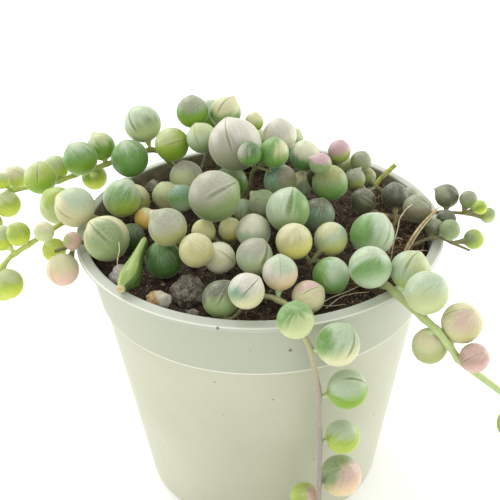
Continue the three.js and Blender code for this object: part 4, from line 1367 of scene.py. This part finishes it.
def turned(name, section, sides):
    """A closed mesh turned round the axis, from a section that starts and ends on the axis."""
    angles = np.arange(sides) * 2 * math.pi / sides
    ring = np.column_stack([np.cos(angles), np.sin(angles)])
    vertices = [[0, 0, section[0][1]]]
    for radius, height in section[1:-1]:
        vertices += np.column_stack([ring * radius, np.full(sides, height)]).tolist()
    vertices.append([0, 0, section[-1][1]])
    last = len(vertices) - 1
    faces = []
    for k in range(sides):
        after = (k + 1) % sides
        faces.append([0, 1 + after, 1 + k])
        for row in range(len(section) - 3):
            low, high = 1 + row * sides, 1 + (row + 1) * sides
            faces.append([low + k, low + after, high + after, high + k])
        faces.append([last, last - sides + k, last - sides + after])
    mesh = bpy.data.meshes.new(name)
    mesh.from_pydata((np.array(vertices) * MM).tolist(), [], faces)
    mesh.shade_smooth()
    return mesh


POT_SIDES = 192
POT_EASE = 0.35
pot_section = [[0, 0]] + eased(POT_OUTSIDE + POT_INSIDE, POT_EASE).tolist() + [[0, POT_FLOOR]]
pot_mesh = turned("nursery_pot", pot_section, POT_SIDES)
print("pot:", len(pot_section), "rows of", POT_SIDES, "vertices")

# %% [markdown]
# ### The pot's finish
#
# The plastic is grey-green and a little see-through, so it glows at its edges. Its colour is painted
# by height and by distance from the axis, which Object coordinates give: the wall, the band, painted
# highlights on the ledge and the lip's edge, painted shade on the lip, and the inside, stained and
# darkened with painted shade. Dust and a few dried crumbs keep it from looking new.

# %% The plastic
finish = Finish(
    "pot plastic", Subsurface_Weight=0.18, Subsurface_Radius=(1.0, 1.0, 0.75),
    Subsurface_Scale=0.004, IOR=1.46, Sheen_Weight=0.1, Sheen_Roughness=0.5)
x, y, height = parts(finish.place_mm)
from_axis = length(vector(x, y))
cloud = clouds(finish.place, 38.0)
dust = clouds(finish.place, 420.0, 4.0, 0.65)
colour = mix(ramp(cloud, 0.35, 0.7), "#b3b59e", "#babba5")
colour = mix(ramp(height, LEDGE_HEIGHT, LEDGE_HEIGHT + 0.4), colour, "#abb09c")
colour = mix(ramp(dust, 0.5, 0.8) * 0.12, colour, "#a59e84")
print("band's lower edge:", LEDGE_HEIGHT, "mm up, lip:", LIP_BOTTOM, "mm up")

# %% The ledge, the lip and the inside: painted highlights, painted shade and stain


def band(value, low, high, soft):
    """1 between two values of a place, and 0 beyond."""
    return ramp(value, low - soft, low) * fall(value, high, high + soft)


# The ledge and the lip's outer edge are thin ridges that the light shines into, painted as highlights.
ledge = band(height, LEDGE_HEIGHT - 0.2, LEDGE_HEIGHT + 0.25, 0.2)
# The lip's top and outer face are painted a darker grey, as painted shade.
lip_shade = (ramp(from_axis, POT_BAND_TOP_RADIUS - 1.5, POT_BAND_TOP_RADIUS - 1.1)
          * ramp(height, POT_HEIGHT - 1.6, POT_HEIGHT - 1.3))
lip_top = LIP_BOTTOM + LIP_EDGE
lip_highlight = (band(height, lip_top - 0.08, lip_top + 0.05, 0.08)
             * ramp(from_axis, POT_LIP_RADIUS - 0.6, POT_LIP_RADIUS - 0.4))
colour = mix(ledge * 0.8, colour, "#e9e9db")
colour = mix(lip_shade, colour, "#aaafa2")
colour = mix(lip_highlight, colour, "#cfd2c2")

# Inside, above the soil, the wall is painted dark brown and darker further down: partly soil stain, partly
# painted shade in the pot's mouth.
STAIN_AND_SHADE_BOTTOM = (62.0, 64.0)
STAIN_AND_SHADE_TOP = (71.2, 71.8)
BAND_SLOPE = (POT_BAND_TOP_RADIUS - POT_BAND_BOTTOM_RADIUS) / POT_BAND_HEIGHT
stain_and_shade_height = ramp(height, *STAIN_AND_SHADE_BOTTOM) * fall(height, *STAIN_AND_SHADE_TOP)
band_radius = from_axis - (height - LEDGE_HEIGHT) * BAND_SLOPE
inside = stain_and_shade_height * fall(
    band_radius, POT_BAND_BOTTOM_RADIUS - 0.6, POT_BAND_BOTTOM_RADIUS - 0.35)
stain_and_shade_depth = clouds(finish.place, 260.0, 4.0, 0.7) + (POT_HEIGHT - height) * 0.06
colour = mix(inside * 0.95, colour, mix(ramp(stain_and_shade_depth, 0.45, 0.75), "#756e5d", "#493f33"))
print("the band leans outwards by", round(BAND_SLOPE, 3), "mm in each mm")

# %% Dried crumbs on the wall
# Crumbs of soil have dried onto the wall here and there: turn from the front, height, size.
DIRT = [(8.0, 63.0, 0.55), (-4.0, 63.5, 0.22), (3.0, 47.0, 0.26), (-12.5, 71.2, 0.5),
        (20.0, 23.5, 0.24), (-15.0, 41.0, 0.16), (-48.0, 20.5, 0.22), (60.0, 44.0, 0.3),
        (120.0, 58.0, 0.35), (200.0, 62.0, 0.4), (285.0, 50.0, 0.3)]
specks = (fall(cells(finish.place, 210.0), 0.05, 0.075)
          * ramp(clouds(finish.place, 95.0, 1.0), 0.6, 0.64))
for turn, level, size in DIRT:
    reach = radius_at(level, POT_OUTSIDE)
    bearing = math.radians(turn - 90)
    spot = (reach * math.cos(bearing), reach * math.sin(bearing), level)
    gap = length(finish.place_mm - spot) + (dust - 0.5) * size
    specks = maths("MAXIMUM", specks, fall(gap, size * 0.6, size))
colour = mix(specks * 0.8, colour, "#5f5140")
finish.skin(colour, 0.4 + dust * 0.12, dust * 0.4 + cloud, 0.00012, 0.5)

# %% Cut the drain holes
DRAIN_HOLES = 8
DRAIN_RADIUS = 2.6
DRAIN_RING_RADIUS = 24
DRILL_SIDES = 28
DRILL_DEPTH = 4 * POT_FLOOR
SHARP_EDGE = math.radians(40)

pot = placed("nursery_pot", pot_mesh, finish.material)
drills = bmesh.new()
for i in range(DRAIN_HOLES):
    angle = 2 * math.pi * i / DRAIN_HOLES
    drill = bmesh.ops.create_cone(
        drills, cap_ends=True, segments=DRILL_SIDES, depth=DRILL_DEPTH * MM,
        radius1=DRAIN_RADIUS * MM, radius2=DRAIN_RADIUS * MM)
    shift = Vector((math.cos(angle), math.sin(angle), 0)) * DRAIN_RING_RADIUS * MM
    bmesh.ops.translate(drills, verts=drill["verts"], vec=shift)
drills_mesh = bpy.data.meshes.new("drain_drills")
drills.to_mesh(drills_mesh)
drills.free()
drill_piece = placed("drain_drills", drills_mesh, finish.material)
cut = pot.modifiers.new("drain holes", "BOOLEAN")
cut.operation = "DIFFERENCE"
cut.object = drill_piece
cut.solver = "EXACT"
cut_mesh = plain_mesh(pot)
pot.modifiers.clear()
pot.data = cut_mesh
cut_mesh.set_sharp_from_angle(angle=SHARP_EDGE)
bpy.data.objects.remove(drill_piece)
finished(pot, node="pot")

# %% [markdown]
# ## The soil
#
# Potting mix for this plant is peat, grit and coconut fibre. The body of it is a turned solid whose
# top is roughened. What makes it soil to the eye lies on top: crumbs scattered over the surface by
# Geometry Nodes, and long fibres.

# %% The soil's body
SOIL_SIDES = 180
SOIL_TOP_RINGS = 70
SOIL_ROUGHNESS = 0.55
SOIL_GAP = 0.3
SOIL_EDGE_DROP = 0.6
SOIL_EDGE_WIDTH = 3
SOIL_EDGE_STEP = 0.5
LUMP_SCALE = 0.35
FINE_LUMP_SCALE = 1.3

finish = Finish("soil", IOR=1.4)
crumb = finish.grain(0.55, 5.0, 0.65)
fleck = finish.grain(1.7, 3.0)
colour = mix(ramp(crumb, 0.35, 0.68), "#1f1812", "#4a3b2c")
colour = mix(ramp(fleck, 0.55, 0.72) * 0.75, colour, "#7a6148")
colour = mix(fall(cells(finish.place_mm, 0.8), 0.12, 0.2) * 0.7, colour, "#a8977c")
finish.skin(colour, 0.78 + fleck * 0.2, crumb + fleck * 0.5, 0.0006, 1.0)

soil_rim = SOIL_LEVEL - SOIL_EDGE_DROP
soil_floor = POT_FLOOR + SOIL_GAP
fill = [[radius_at(height, POT_INSIDE) - SOIL_GAP, height]
        for height in (soil_floor, LEDGE_HEIGHT - 2 * LEDGE_RISE, LEDGE_HEIGHT, soil_rim)]
rim_radius = fill[-1][0]
top = [[radius, SOIL_LEVEL] for radius in np.linspace(rim_radius - SOIL_EDGE_STEP, 0, SOIL_TOP_RINGS)]
soil_mesh = turned("potting_mix", [[0, soil_floor]] + fill + top, SOIL_SIDES)
for vertex in soil_mesh.vertices:
    px, py, pz = vertex.co / MM
    if pz > (soil_rim + SOIL_LEVEL) / 2:
        spot = Vector((px, py, 0))
        lumps = (noise.fractal(spot * LUMP_SCALE, 1.0, 2.0, 4)
                 + 0.5 * noise.noise(spot * FINE_LUMP_SCALE))
        edge = min(1.0, (rim_radius - math.hypot(px, py)) / SOIL_EDGE_WIDTH)
        vertex.co.z = (soil_top(px, py) + SOIL_ROUGHNESS * lumps * edge) * MM
finished(placed("potting_mix", soil_mesh, finish.material), node="soil")

# %% [markdown]
# ### Crumbs
#
# Over a thousand crumbs lie on the soil, no two alike. Distribute Points on Faces scatters them
# over a disc that follows the soil's surface, each a small ball with a few faces, squashed, turned
# and sized by chance. One noise over the whole lot then shoves every vertex, so that none stays round.

# %% The tree for crumbs
crumbs = ShapeTree("crumbs", {
    "Spread": 260000.0, "Smallest": 0.00025, "Largest": 0.0011, "Shove": 0.0007,
    "Sides": 7, "Rings": 5})
given = crumbs.given
spots = crumbs.node("GeometryNodeDistributePointsOnFaces", {
    "Mesh": given["Geometry"], "Density": given["Spread"], "Seed": 4}, distribute_method="RANDOM")
size = crumbs.node("FunctionNodeRandomValue", {"Min": 0.0, "Max": 1.0, "Seed": 5}, data_type="FLOAT")
size = given["Smallest"] + (given["Largest"] - given["Smallest"]) * (size * size)
tilt = crumbs.node("FunctionNodeRandomValue", {
    "Min": (0.0, 0.0, 0.0), "Max": (6.28, 6.28, 6.28), "Seed": 6}, data_type="FLOAT_VECTOR")
ball = crumbs.node("GeometryNodeMeshUVSphere", {
    "Segments": given["Sides"], "Rings": given["Rings"], "Radius": 1.0})
ball = crumbs.node("GeometryNodeTransform", {"Geometry": ball, "Scale": (1.0, 0.75, 0.6)})
many = crumbs.real_copies(spots, ball, Rotation=tilt, Scale=size)
chance = clouds(crumbs.position() * PER_METRE, 1.1, 1.0).of("Color")
many = crumbs.moved(many, Offset=(chance - (0.5, 0.5, 0.5)) * given["Shove"])
crumbs.close(crumbs.painted(many))

# %% Scatter the crumbs
LITTER_EDGE = 40.3
LITTER_CELLS = 60
CRUMB_SINK = 0.15

finish = Finish("crumbs", IOR=1.4)
shade = finish.grain(0.8, 3.0)
grain = finish.grain(5.0)
colour = mix(ramp(shade, 0.38, 0.55), "#241b14", "#5b4734")
colour = mix(ramp(shade, 0.58, 0.66), colour, "#98886f")
colour = mix(ramp(grain, 0.55, 0.8) * 0.5, colour, "#b5a68c")
finish.skin(colour, 0.8 + grain * 0.15, grain, 0.0002, 0.8)

disc = bmesh.new()
bmesh.ops.create_grid(disc, x_segments=LITTER_CELLS, y_segments=LITTER_CELLS, size=LITTER_EDGE * MM)
outside = [vertex for vertex in disc.verts if vertex.co.length > LITTER_EDGE * MM]
bmesh.ops.delete(disc, geom=outside, context="VERTS")
for vertex in disc.verts:
    vertex.co.z = (soil_top(vertex.co.x / MM, vertex.co.y / MM) - CRUMB_SINK) * MM
disc_mesh = bpy.data.meshes.new("soil_patch")
disc.to_mesh(disc_mesh)
disc.free()
finished(grown("soil_crumbs", disc_mesh, crumbs, {"Finish": finish.material}))

# %% [markdown]
# ## Roots, twigs and fibres
#
# They are all one kind of thing: a line with a thickness that changes along it, and a skin that is
# wrinkled along its length. One tree makes them from marked lines, as it makes the living stems.

# %% The tree for dry lines
dry = ShapeTree("dry lines", {"Sides": 12, "Wrinkle": 0.2, "Wrinkles per metre": 900.0})
given = dry.given
tube = dry.tube(given["Geometry"], given["Sides"])
furrow = clouds(dry.position() * given["Wrinkles per metre"], 1.0) - 0.5
tube = dry.moved(tube, Offset=dry.node("GeometryNodeInputNormal") * (
    furrow * given["Wrinkle"] * dry.named("girth")))
dry.close(dry.painted(dry.smooth(tube)))


def line_mesh(name, routes, girths, step):
    """Marked lines: routes in millimetres and each one's thickness from its start to its end."""
    places, edges, girth = [], [], []
    for route, (start, end) in zip(routes, girths):
        spline = Spline(route)
        count = max(2, int(spline.length / step))
        edges += [(len(places) + i, len(places) + i + 1) for i in range(count)]
        places += spline.spaced(count).tolist()
        girth += np.linspace(start, end, count + 1).tolist()
    return marked_mesh(name, places, edges, girth=np.array(girth) * MM)


def dry_finish(name, dark, light, speck, scale):
    """Dead plant fibre: two tones along the grain and pale specks."""
    finish = Finish(name, IOR=1.4)
    grain = finish.grain(scale, 4.0, 0.6)
    dots = finish.grain(scale * 3.0)
    colour = mix(ramp(grain, 0.35, 0.65), dark, light)
    colour = mix(ramp(dots, 0.58, 0.7) * 0.6, colour, speck)
    finish.skin(colour, 0.62 + grain * 0.3, grain + dots * 0.4, 0.0003, 0.9)
    return finish.material


# %% The twigs, the cut stem and the dry root
LINE_DETAIL = 0.4
DRY_LOOKS = {
    "old_stem": ("old bark", "#857456", "#b3a27e", "#d0c3a0", 0.8),
    "cut_stem": ("cut stem", "#8f9645", "#bcbf66", "#dcd9a4", 0.9),
    "dry_root": ("dry root", "#b49c72", "#dccaa2", "#eee4c8", 1.1),
}
TWIG_END = {"old_stem": 0.85, "cut_stem": 1.0}

# The dry root is two thin strands side by side.
ROOT_STRANDS = [
    [[33.5, -13.5, 66], [33.9, -13, 69], [35.6, -12.6, 73.5], [38.7, -10.6, 77], [42.2, -9.6, 80.3]],
    [[33.9, -13.9, 66], [34.3, -13.5, 69], [36.3, -12.6, 73.4], [38.9, -11.1, 76.6],
     [41.6, -9.9, 79.4]],
]
DRY_LINES = {name: ([route], [(thick, thick * TWIG_END[name])])
             for name, (route, thick) in TWIGS.items() if name in TWIG_END}
DRY_LINES["dry_root"] = (ROOT_STRANDS, [(0.36, 0.2), (0.3, 0.15)])
for name, (routes, girths) in DRY_LINES.items():
    mesh = line_mesh(name + "_line", routes, girths, LINE_DETAIL)
    finished(grown(name + "_dressed", mesh, dry, {"Finish": dry_finish(*DRY_LOOKS[name])}), node=name)

# %% Fine white roots
WHITE_ROOTS = [
    ([[31, -12.6, 67.5], [31.5, -12.1, 71.5], [31.9, -12, 73.6], [32.5, -11.5, 76.1],
      [32.8, -11.1, 78], [33.6, -10.9, 79.6], [34.6, -10.5, 80.7], [35.8, -9.8, 81.3]], 0.17, 0.1),
    ([[31.8, -12, 73.2], [32.6, -12.1, 73.7], [33.5, -12.5, 73.4]], 0.1, 0.07),
    ([[31.6, -12.1, 72.4], [30.8, -12.9, 71.6], [30.2, -13.4, 70.2]], 0.1, 0.07),
    ([[-32.6, -17.6, 77.6], [-32.4, -18.9, 76.4], [-32.9, -20.6, 74.2], [-32.6, -21.8, 72],
      [-32.4, -22, 70.6]], 0.12, 0.07),
    ([[12.3, -33.4, 69.2], [15.2, -31.6, 70], [18.6, -29.8, 70.2], [22.4, -26.2, 69.6]], 0.11, 0.08),
    ([[14, -34.6, 69.3], [17.4, -32, 70.4], [20, -30.6, 70.3], [24, -29.2, 69.8]], 0.09, 0.06),
    ([[8, -34.8, 69], [11.6, -33.8, 69.6], [15, -34.3, 69.7], [18.4, -33, 69.2]], 0.09, 0.06),
    ([[32, -14.6, 69], [35.2, -14, 70.6], [38.4, -13.4, 70.8], [40.2, -12.6, 70]], 0.09, 0.06),
]
white = dry_finish("young root", "#c9b994", "#e8ddc2", "#f6f0de", 1.4)
root_mesh = line_mesh("young_root_lines", [row[0] for row in WHITE_ROOTS],
                      [row[1:] for row in WHITE_ROOTS], LINE_DETAIL)
finished(grown("young_roots", root_mesh, dry, {"Finish": white}))

# %% [markdown]
# ### Coconut fibres
#
# Coconut fibre lies through the mix in all directions, with its ends and loops standing up here and
# there. Each fibre is a walk of five steps that bends a little by chance at each and keeps inside
# the pot, and some places hold a tangled clump of shorter and more crooked ones.

# %% Where the fibres run
FIBRES = 150
FIBRE_REACH = 38
FRONT_SHARE = 0.45
FRONT_RIGHT = [(14, 36), (-26, 14)]
STEPS = 5

# A clump's middle, its spread and how many fibres it has.
CLUMPS = [(37, -12, 3.0, 44), (33, -2.5, 3.6, 16), (31, 15, 4.0, 26), (-31, 18, 4.0, 18),
          (38.5, -7.5, 2.2, 26), (35, 19, 3.0, 30), (38, 8, 2.6, 16)]
CLUMP_SPREAD = 0.55
CLUMP_STEP = 1.1
rng = random.Random(8)


def wandering(x, y, heading, step, bend, lifts):
    """A walk over the soil that stays inside the pot. Its ends lie lower than its middle."""
    route = []
    lowest, highest, end_highest = lifts
    for i in range(STEPS):
        x += math.cos(heading) * step
        y += math.sin(heading) * step
        heading += rng.uniform(-bend, bend)
        inward = min(1.0, LITTER_EDGE / max(1e-6, math.hypot(x, y)))
        x, y = x * inward, y * inward
        lift = rng.uniform(lowest, highest if 0 < i < STEPS - 1 else end_highest)
        route.append([x, y, float(soil_top(x, y)) + lift])
    return route


fibre_routes, fibre_girths = [], []
for _ in range(FIBRES):
    reach = FIBRE_REACH * math.sqrt(rng.random())
    turn = rng.random() * 2 * math.pi
    x, y = reach * math.cos(turn), reach * math.sin(turn)
    if rng.random() < FRONT_SHARE:
        x, y = (rng.uniform(*limits) for limits in FRONT_RIGHT)
    heading = rng.random() * 2 * math.pi
    fibre_length = rng.uniform(4, 13)
    fibre_routes.append(wandering(x, y, heading, fibre_length / 4, 0.4, (0.1, 1.7, 0.3)))
    thick = rng.uniform(0.07, 0.17)
    fibre_girths.append((thick, thick * 0.5))
for x_mid, y_mid, spread, count in CLUMPS:
    for _ in range(count):
        x, y = (rng.gauss(middle, spread * CLUMP_SPREAD) for middle in (x_mid, y_mid))
        heading = rng.random() * 2 * math.pi
        fibre_routes.append(wandering(x, y, heading, CLUMP_STEP, 0.9, (0.1, 2.2, 0.6)))
        thick = rng.uniform(0.1, 0.22)
        fibre_girths.append((thick, thick * 0.6))
print("fibres:", len(fibre_routes))

# %% Grow the fibres
FIBRE_DETAIL = 0.8
fibre_finish = dry_finish("coconut fibre", "#4e3b27", "#8a6d48", "#c6b08a", 0.5)
fibre_mesh = line_mesh("fibre_lines", fibre_routes, fibre_girths, FIBRE_DETAIL)
finished(grown("coconut_fibres", fibre_mesh, dry, {
    "Finish": fibre_finish, "Sides": 5, "Wrinkle": 0.0}))

# %% [markdown]
# ## Stones
#
# A stone starts as a fine ball on its marked point. Large soft facets and small bumps are pressed
# into it, and a pumice gets pits as well. They all cut inwards, so each stone keeps to its place.

# %% The tree for stones
FACET_SCALE = 1.5
BUMP_SCALE = 5.0
BUMP_DEPTH = 0.06
PIT_SCALE = 6.0

stone = ShapeTree("stone", {"Fineness": 6, "Wear": 0.3, "Pits": 0.0, "Chance": 1.0})
given = stone.given
rock = stone.balls(given["Geometry"], stone.node("GeometryNodeMeshIcoSphere", {
    "Subdivisions": given["Fineness"], "Radius": 1.0}))
on_ball = stone.way("on_ball")
spot = on_ball + vector(given["Chance"], given["Chance"] * 2.0)
pits = fall(cells(spot, PIT_SCALE), 0.12, 0.4)
worn = (1.0 + BUMP_DEPTH - given["Wear"] * cells(spot, FACET_SCALE)
        - BUMP_DEPTH * clouds(spot, BUMP_SCALE, 3.0) - given["Pits"] * pits)
rock = stone.moved(rock, Position=stone.way("place") + on_ball * stone.way("half_size") * worn)
stone.close(stone.painted(stone.smooth(rock)))


def stone_finish(name, dark, light, speck, coarse, other_side=None):
    """A stone's skin: two tones in clouds, grains, and to the right of a line another colour."""
    finish = Finish(name, IOR=1.5)
    tones = finish.grain(coarse, 3.0)
    grains = finish.grain(coarse * 6.0, 3.0, 0.7)
    colour = mix(ramp(tones, 0.35, 0.65), dark, light)
    colour = mix(ramp(grains, 0.56, 0.66) * 0.8, colour, speck)
    if other_side:
        limit, code = other_side
        split = parts(finish.place_mm)[0] + (tones - 0.5) * 4.0
        colour = mix(ramp(split, limit - 0.7, limit + 0.7), colour, code)
    finish.skin(colour, 0.7 + grains * 0.28, grains + tones, 0.0004, 1.0)
    return finish.material


# %% The eight stones
CHANCE_APART = 3.7
pumice = stone_finish("pumice", "#4b4437", "#8d8673", "#d6d0bc", 0.7)
dark_pumice = stone_finish("dark pumice", "#2f2922", "#5b4f42", "#9b8d78", 0.4)
# The lilac stone is painted paler than its own colour, as painted light against the shade of the leaves
# over it.
lilac_stone = stone_finish("lilac stone", "#c4bab6", "#d6cecb", "#e6e0dc", 0.3)
amber_stone = stone_finish("amber stone", "#b08e62", "#cdb286", "#e2d2ac", 0.6, (-23.4, "#d2ccb8"))
grey_stone = stone_finish("grey stone", "#6f6a60", "#958d80", "#c6bfb0", 0.4)

# A finish, and how deep the pits are.
STONE_LOOKS = {
    "pumice_large": (pumice, 0.12), "pumice_dark": (dark_pumice, 0.1), "grit_far": (pumice, 0.08),
    "stone_lilac": (lilac_stone, 0.0), "stone_amber": (amber_stone, 0.0),
    "grit_front": (grey_stone, 0.0), "grit_back": (grey_stone, 0.0), "grit_right": (grey_stone, 0.0),
}
for number, (name, (spot, size)) in enumerate(STONES.items()):
    material, pit_depth = STONE_LOOKS[name]
    mesh = marked_mesh(name + "_spot", [spot], place=[np.array(spot) * MM],
                       half_size=[np.array(size) / 2 * MM])
    finished(grown(name + "_dressed", mesh, stone, {
        "Finish": material, "Pits": pit_depth, "Chance": CHANCE_APART * number}), node=name)

# %% [markdown]
# ## The fallen leaf
#
# One long leaf lies loose on the lip. It tapers to its top and ends at the front in the round scar
# where it broke off. It is turned like the pot, then laid along its line and pinched along one side.
# One side of it faces away from the light and is dark, so each of its vertices also says how far it
# faces that way.

# %% The fallen leaf's finish
finish = Finish(
    "fallen leaf", Subsurface_Weight=0.3, Subsurface_Radius=(0.9, 1.0, 0.4),
    Subsurface_Scale=0.0015, Coat_Weight=0.15, Coat_Roughness=0.3, IOR=1.4)
share = finish.carried("up_leaf")
veins = clouds(vector(finish.carried("side") * 14.0, share * 2.0), 1.0, 3.0)
skin = finish.grain(1.6, 3.0)
colour = mix(ramp(veins, 0.35, 0.7), "#7d9448", "#9fb268")
dark_side = mix(ramp(veins, 0.35, 0.7), "#3a5622", "#4d6a30")
colour = mix(ramp(finish.carried("shaded") + (veins - 0.5) * 0.15, 0.05, 0.3), colour, dark_side)
colour = mix(fall(share, 0.02, 0.05), colour, "#bfae86")
colour = mix(ramp(skin, 0.6, 0.75) * 0.3, colour, "#c3cf9c")
finish.skin(colour, 0.36 + skin * 0.2, veins * 0.5 + skin * 0.4, 0.0003, 0.7)

# %% Turn and lay the leaf
FALLEN_RINGS = 44
FALLEN_SIDES = 40
FALLEN_SCAR = [-31.4, -31.5, 73.4]
FALLEN_TOP = [-26.5, -14.9, 77]
FALLEN_SHARES = [0, 0.06, 0.14, 0.22, 0.36, 0.55, 0.78, 0.94, 1]
FALLEN_RADII = [0.85, 1.15, 2.2, 2.6, 2.35, 1.6, 1.15, 0.9, 0.3]
SCAR_DEPTH = 0.35
SCAR_EDGE = 0.05
CREASE = 0.22
CREASE_TURN = -0.2
CREASE_WIDTH = 0.22
BELLY = 0.45
BELLY_WAY = Vector((1, 0.15, -0.25))
DARK_WAY = Vector(unit(np.array([0.8, -0.25, -0.55])))

leaf_length = math.dist(FALLEN_SCAR, FALLEN_TOP)
rows = np.linspace(0, 1, FALLEN_RINGS)
slim = np.interp(rows, FALLEN_SHARES, FALLEN_RADII)
slim[1:-1] = (slim[:-2] + slim[1:-1] * 2 + slim[2:]) / 4
fallen_section = [[0, SCAR_DEPTH], [slim[0] * 0.55, SCAR_DEPTH * 0.8], [slim[0] * 0.85, SCAR_EDGE]]
fallen_section += [[wide, SCAR_EDGE + row * (leaf_length - 2 * SCAR_EDGE)]
                   for wide, row in zip(slim, rows[:-1])]
fallen_section += [[0, leaf_length]]
fallen_mesh = turned("fallen_leaf_dressed", fallen_section, FALLEN_SIDES)
lay = Vector((0, 0, 1)).rotation_difference(Vector(unit(np.subtract(FALLEN_TOP, FALLEN_SCAR))))
marks = {"up_leaf": [], "side": [], "shaded": []}
for vertex in fallen_mesh.vertices:
    spot = vertex.co / MM
    turn = math.atan2(spot.y, spot.x)
    up = spot.z / leaf_length
    marks["up_leaf"].append(up)
    marks["side"].append(0.5 + turn / (2 * math.pi))
    marks["shaded"].append((lay @ Vector((math.cos(turn), math.sin(turn), 0))) @ DARK_WAY)
    near_crease = math.exp(-((turn - CREASE_TURN) / CREASE_WIDTH) ** 2)
    pinch = 1 - CREASE * near_crease * math.sin(math.pi * min(1, up + 0.1))
    lean = BELLY * (float(np.interp(up, rows, slim)) - slim[0])
    spot = Vector((spot.x * pinch, spot.y * pinch, spot.z))
    vertex.co = (lay @ spot + Vector(FALLEN_SCAR) + BELLY_WAY * lean) * MM
add_marks(fallen_mesh, marks)
finished(placed("fallen_leaf_dressed", fallen_mesh, finish.material), node="fallen_leaf")

# %% [markdown]
# ## Floor, light and camera
#
# The plant is lit as a bright window lights it: a broad soft light from behind and to the left,
# which makes the leaves glow, a fill from the front, and pale surroundings all round. The camera
# looks down at it from the front, a little tilted, through a lens long enough to keep the pot's
# sides from spreading.

# %% The floor
HALF_FLOOR = 3
floor_finish = Finish("floor", Base_Color="#ffffff", Roughness=0.9)
floor_mesh = bpy.data.meshes.new("floor")
floor_mesh.from_pydata(
    [(x * HALF_FLOOR, y * HALF_FLOOR, 0) for x, y in ((-1, -1), (1, -1), (1, 1), (-1, 1))],
    [], [(0, 1, 2, 3)])
floor = placed("floor", floor_mesh, floor_finish.material)
print("floor:", 2 * HALF_FLOOR, "m across")

# %% The light
world = bpy.data.worlds.new("pale surroundings")
world.use_nodes = True
background = world.node_tree.nodes["Background"].inputs
background["Color"].default_value = (1.0, 1.0, 1.0, 1.0)
background["Strength"].default_value = 1.0
scene.world = world

# Each lamp's place, the height that it aims at, its size, its power and its colour.
LAMPS = {
    "window, high behind": ((-0.30, 0.60, 0.65), 0.07, 0.5, 3.6, (1.0, 0.99, 0.95)),
    "room, in front": ((0.05, -0.60, 0.50), 0.07, 0.6, 0.9, (1.0, 0.99, 0.95)),
    "window, left": ((-0.75, 0.20, 0.14), 0.04, 0.5, 2.6, (1.0, 0.99, 0.96)),
    "window, right": ((0.75, 0.25, 0.16), 0.04, 0.5, 3.2, (1.0, 0.99, 0.96)),
}
for name, (spot, aim, size, power, colour) in LAMPS.items():
    lamp = bpy.data.lights.new(name, "AREA")
    lamp.shape = "DISK"
    lamp.size = size
    lamp.energy = power
    lamp.color = colour
    light = placed(name, lamp)
    light.location = spot
    light.rotation_euler = (Vector((0, 0, aim)) - Vector(spot)).to_track_quat("-Z", "Y").to_euler()
print("lamps:", len(LAMPS))

# %% The camera
LENS = 79.2
SENSOR = 36
CAMERA_DISTANCE = 275
CAMERA_ELEVATION = math.radians(30.93)
CAMERA_ROLL = math.radians(-1.41)
CAMERA_TARGET = Vector((-2.45, 0, 64.04))

lens = bpy.data.cameras.new("camera")
lens.lens = LENS
lens.sensor_width = SENSOR
lens.clip_start = 0.01
camera = placed("camera", lens)
forward = Vector((0, math.cos(CAMERA_ELEVATION), -math.sin(CAMERA_ELEVATION)))
camera.location = (CAMERA_TARGET - forward * CAMERA_DISTANCE) * MM
camera.rotation_mode = "QUATERNION"
camera.rotation_quaternion = (forward.to_track_quat("-Z", "Y")
                              @ Quaternion((0, 0, 1), CAMERA_ROLL))
scene.camera = camera
scene.view_settings.view_transform = "Standard"
scene.view_settings.exposure = 0.0
print("camera:", [round(part, 3) for part in camera.location], "m")
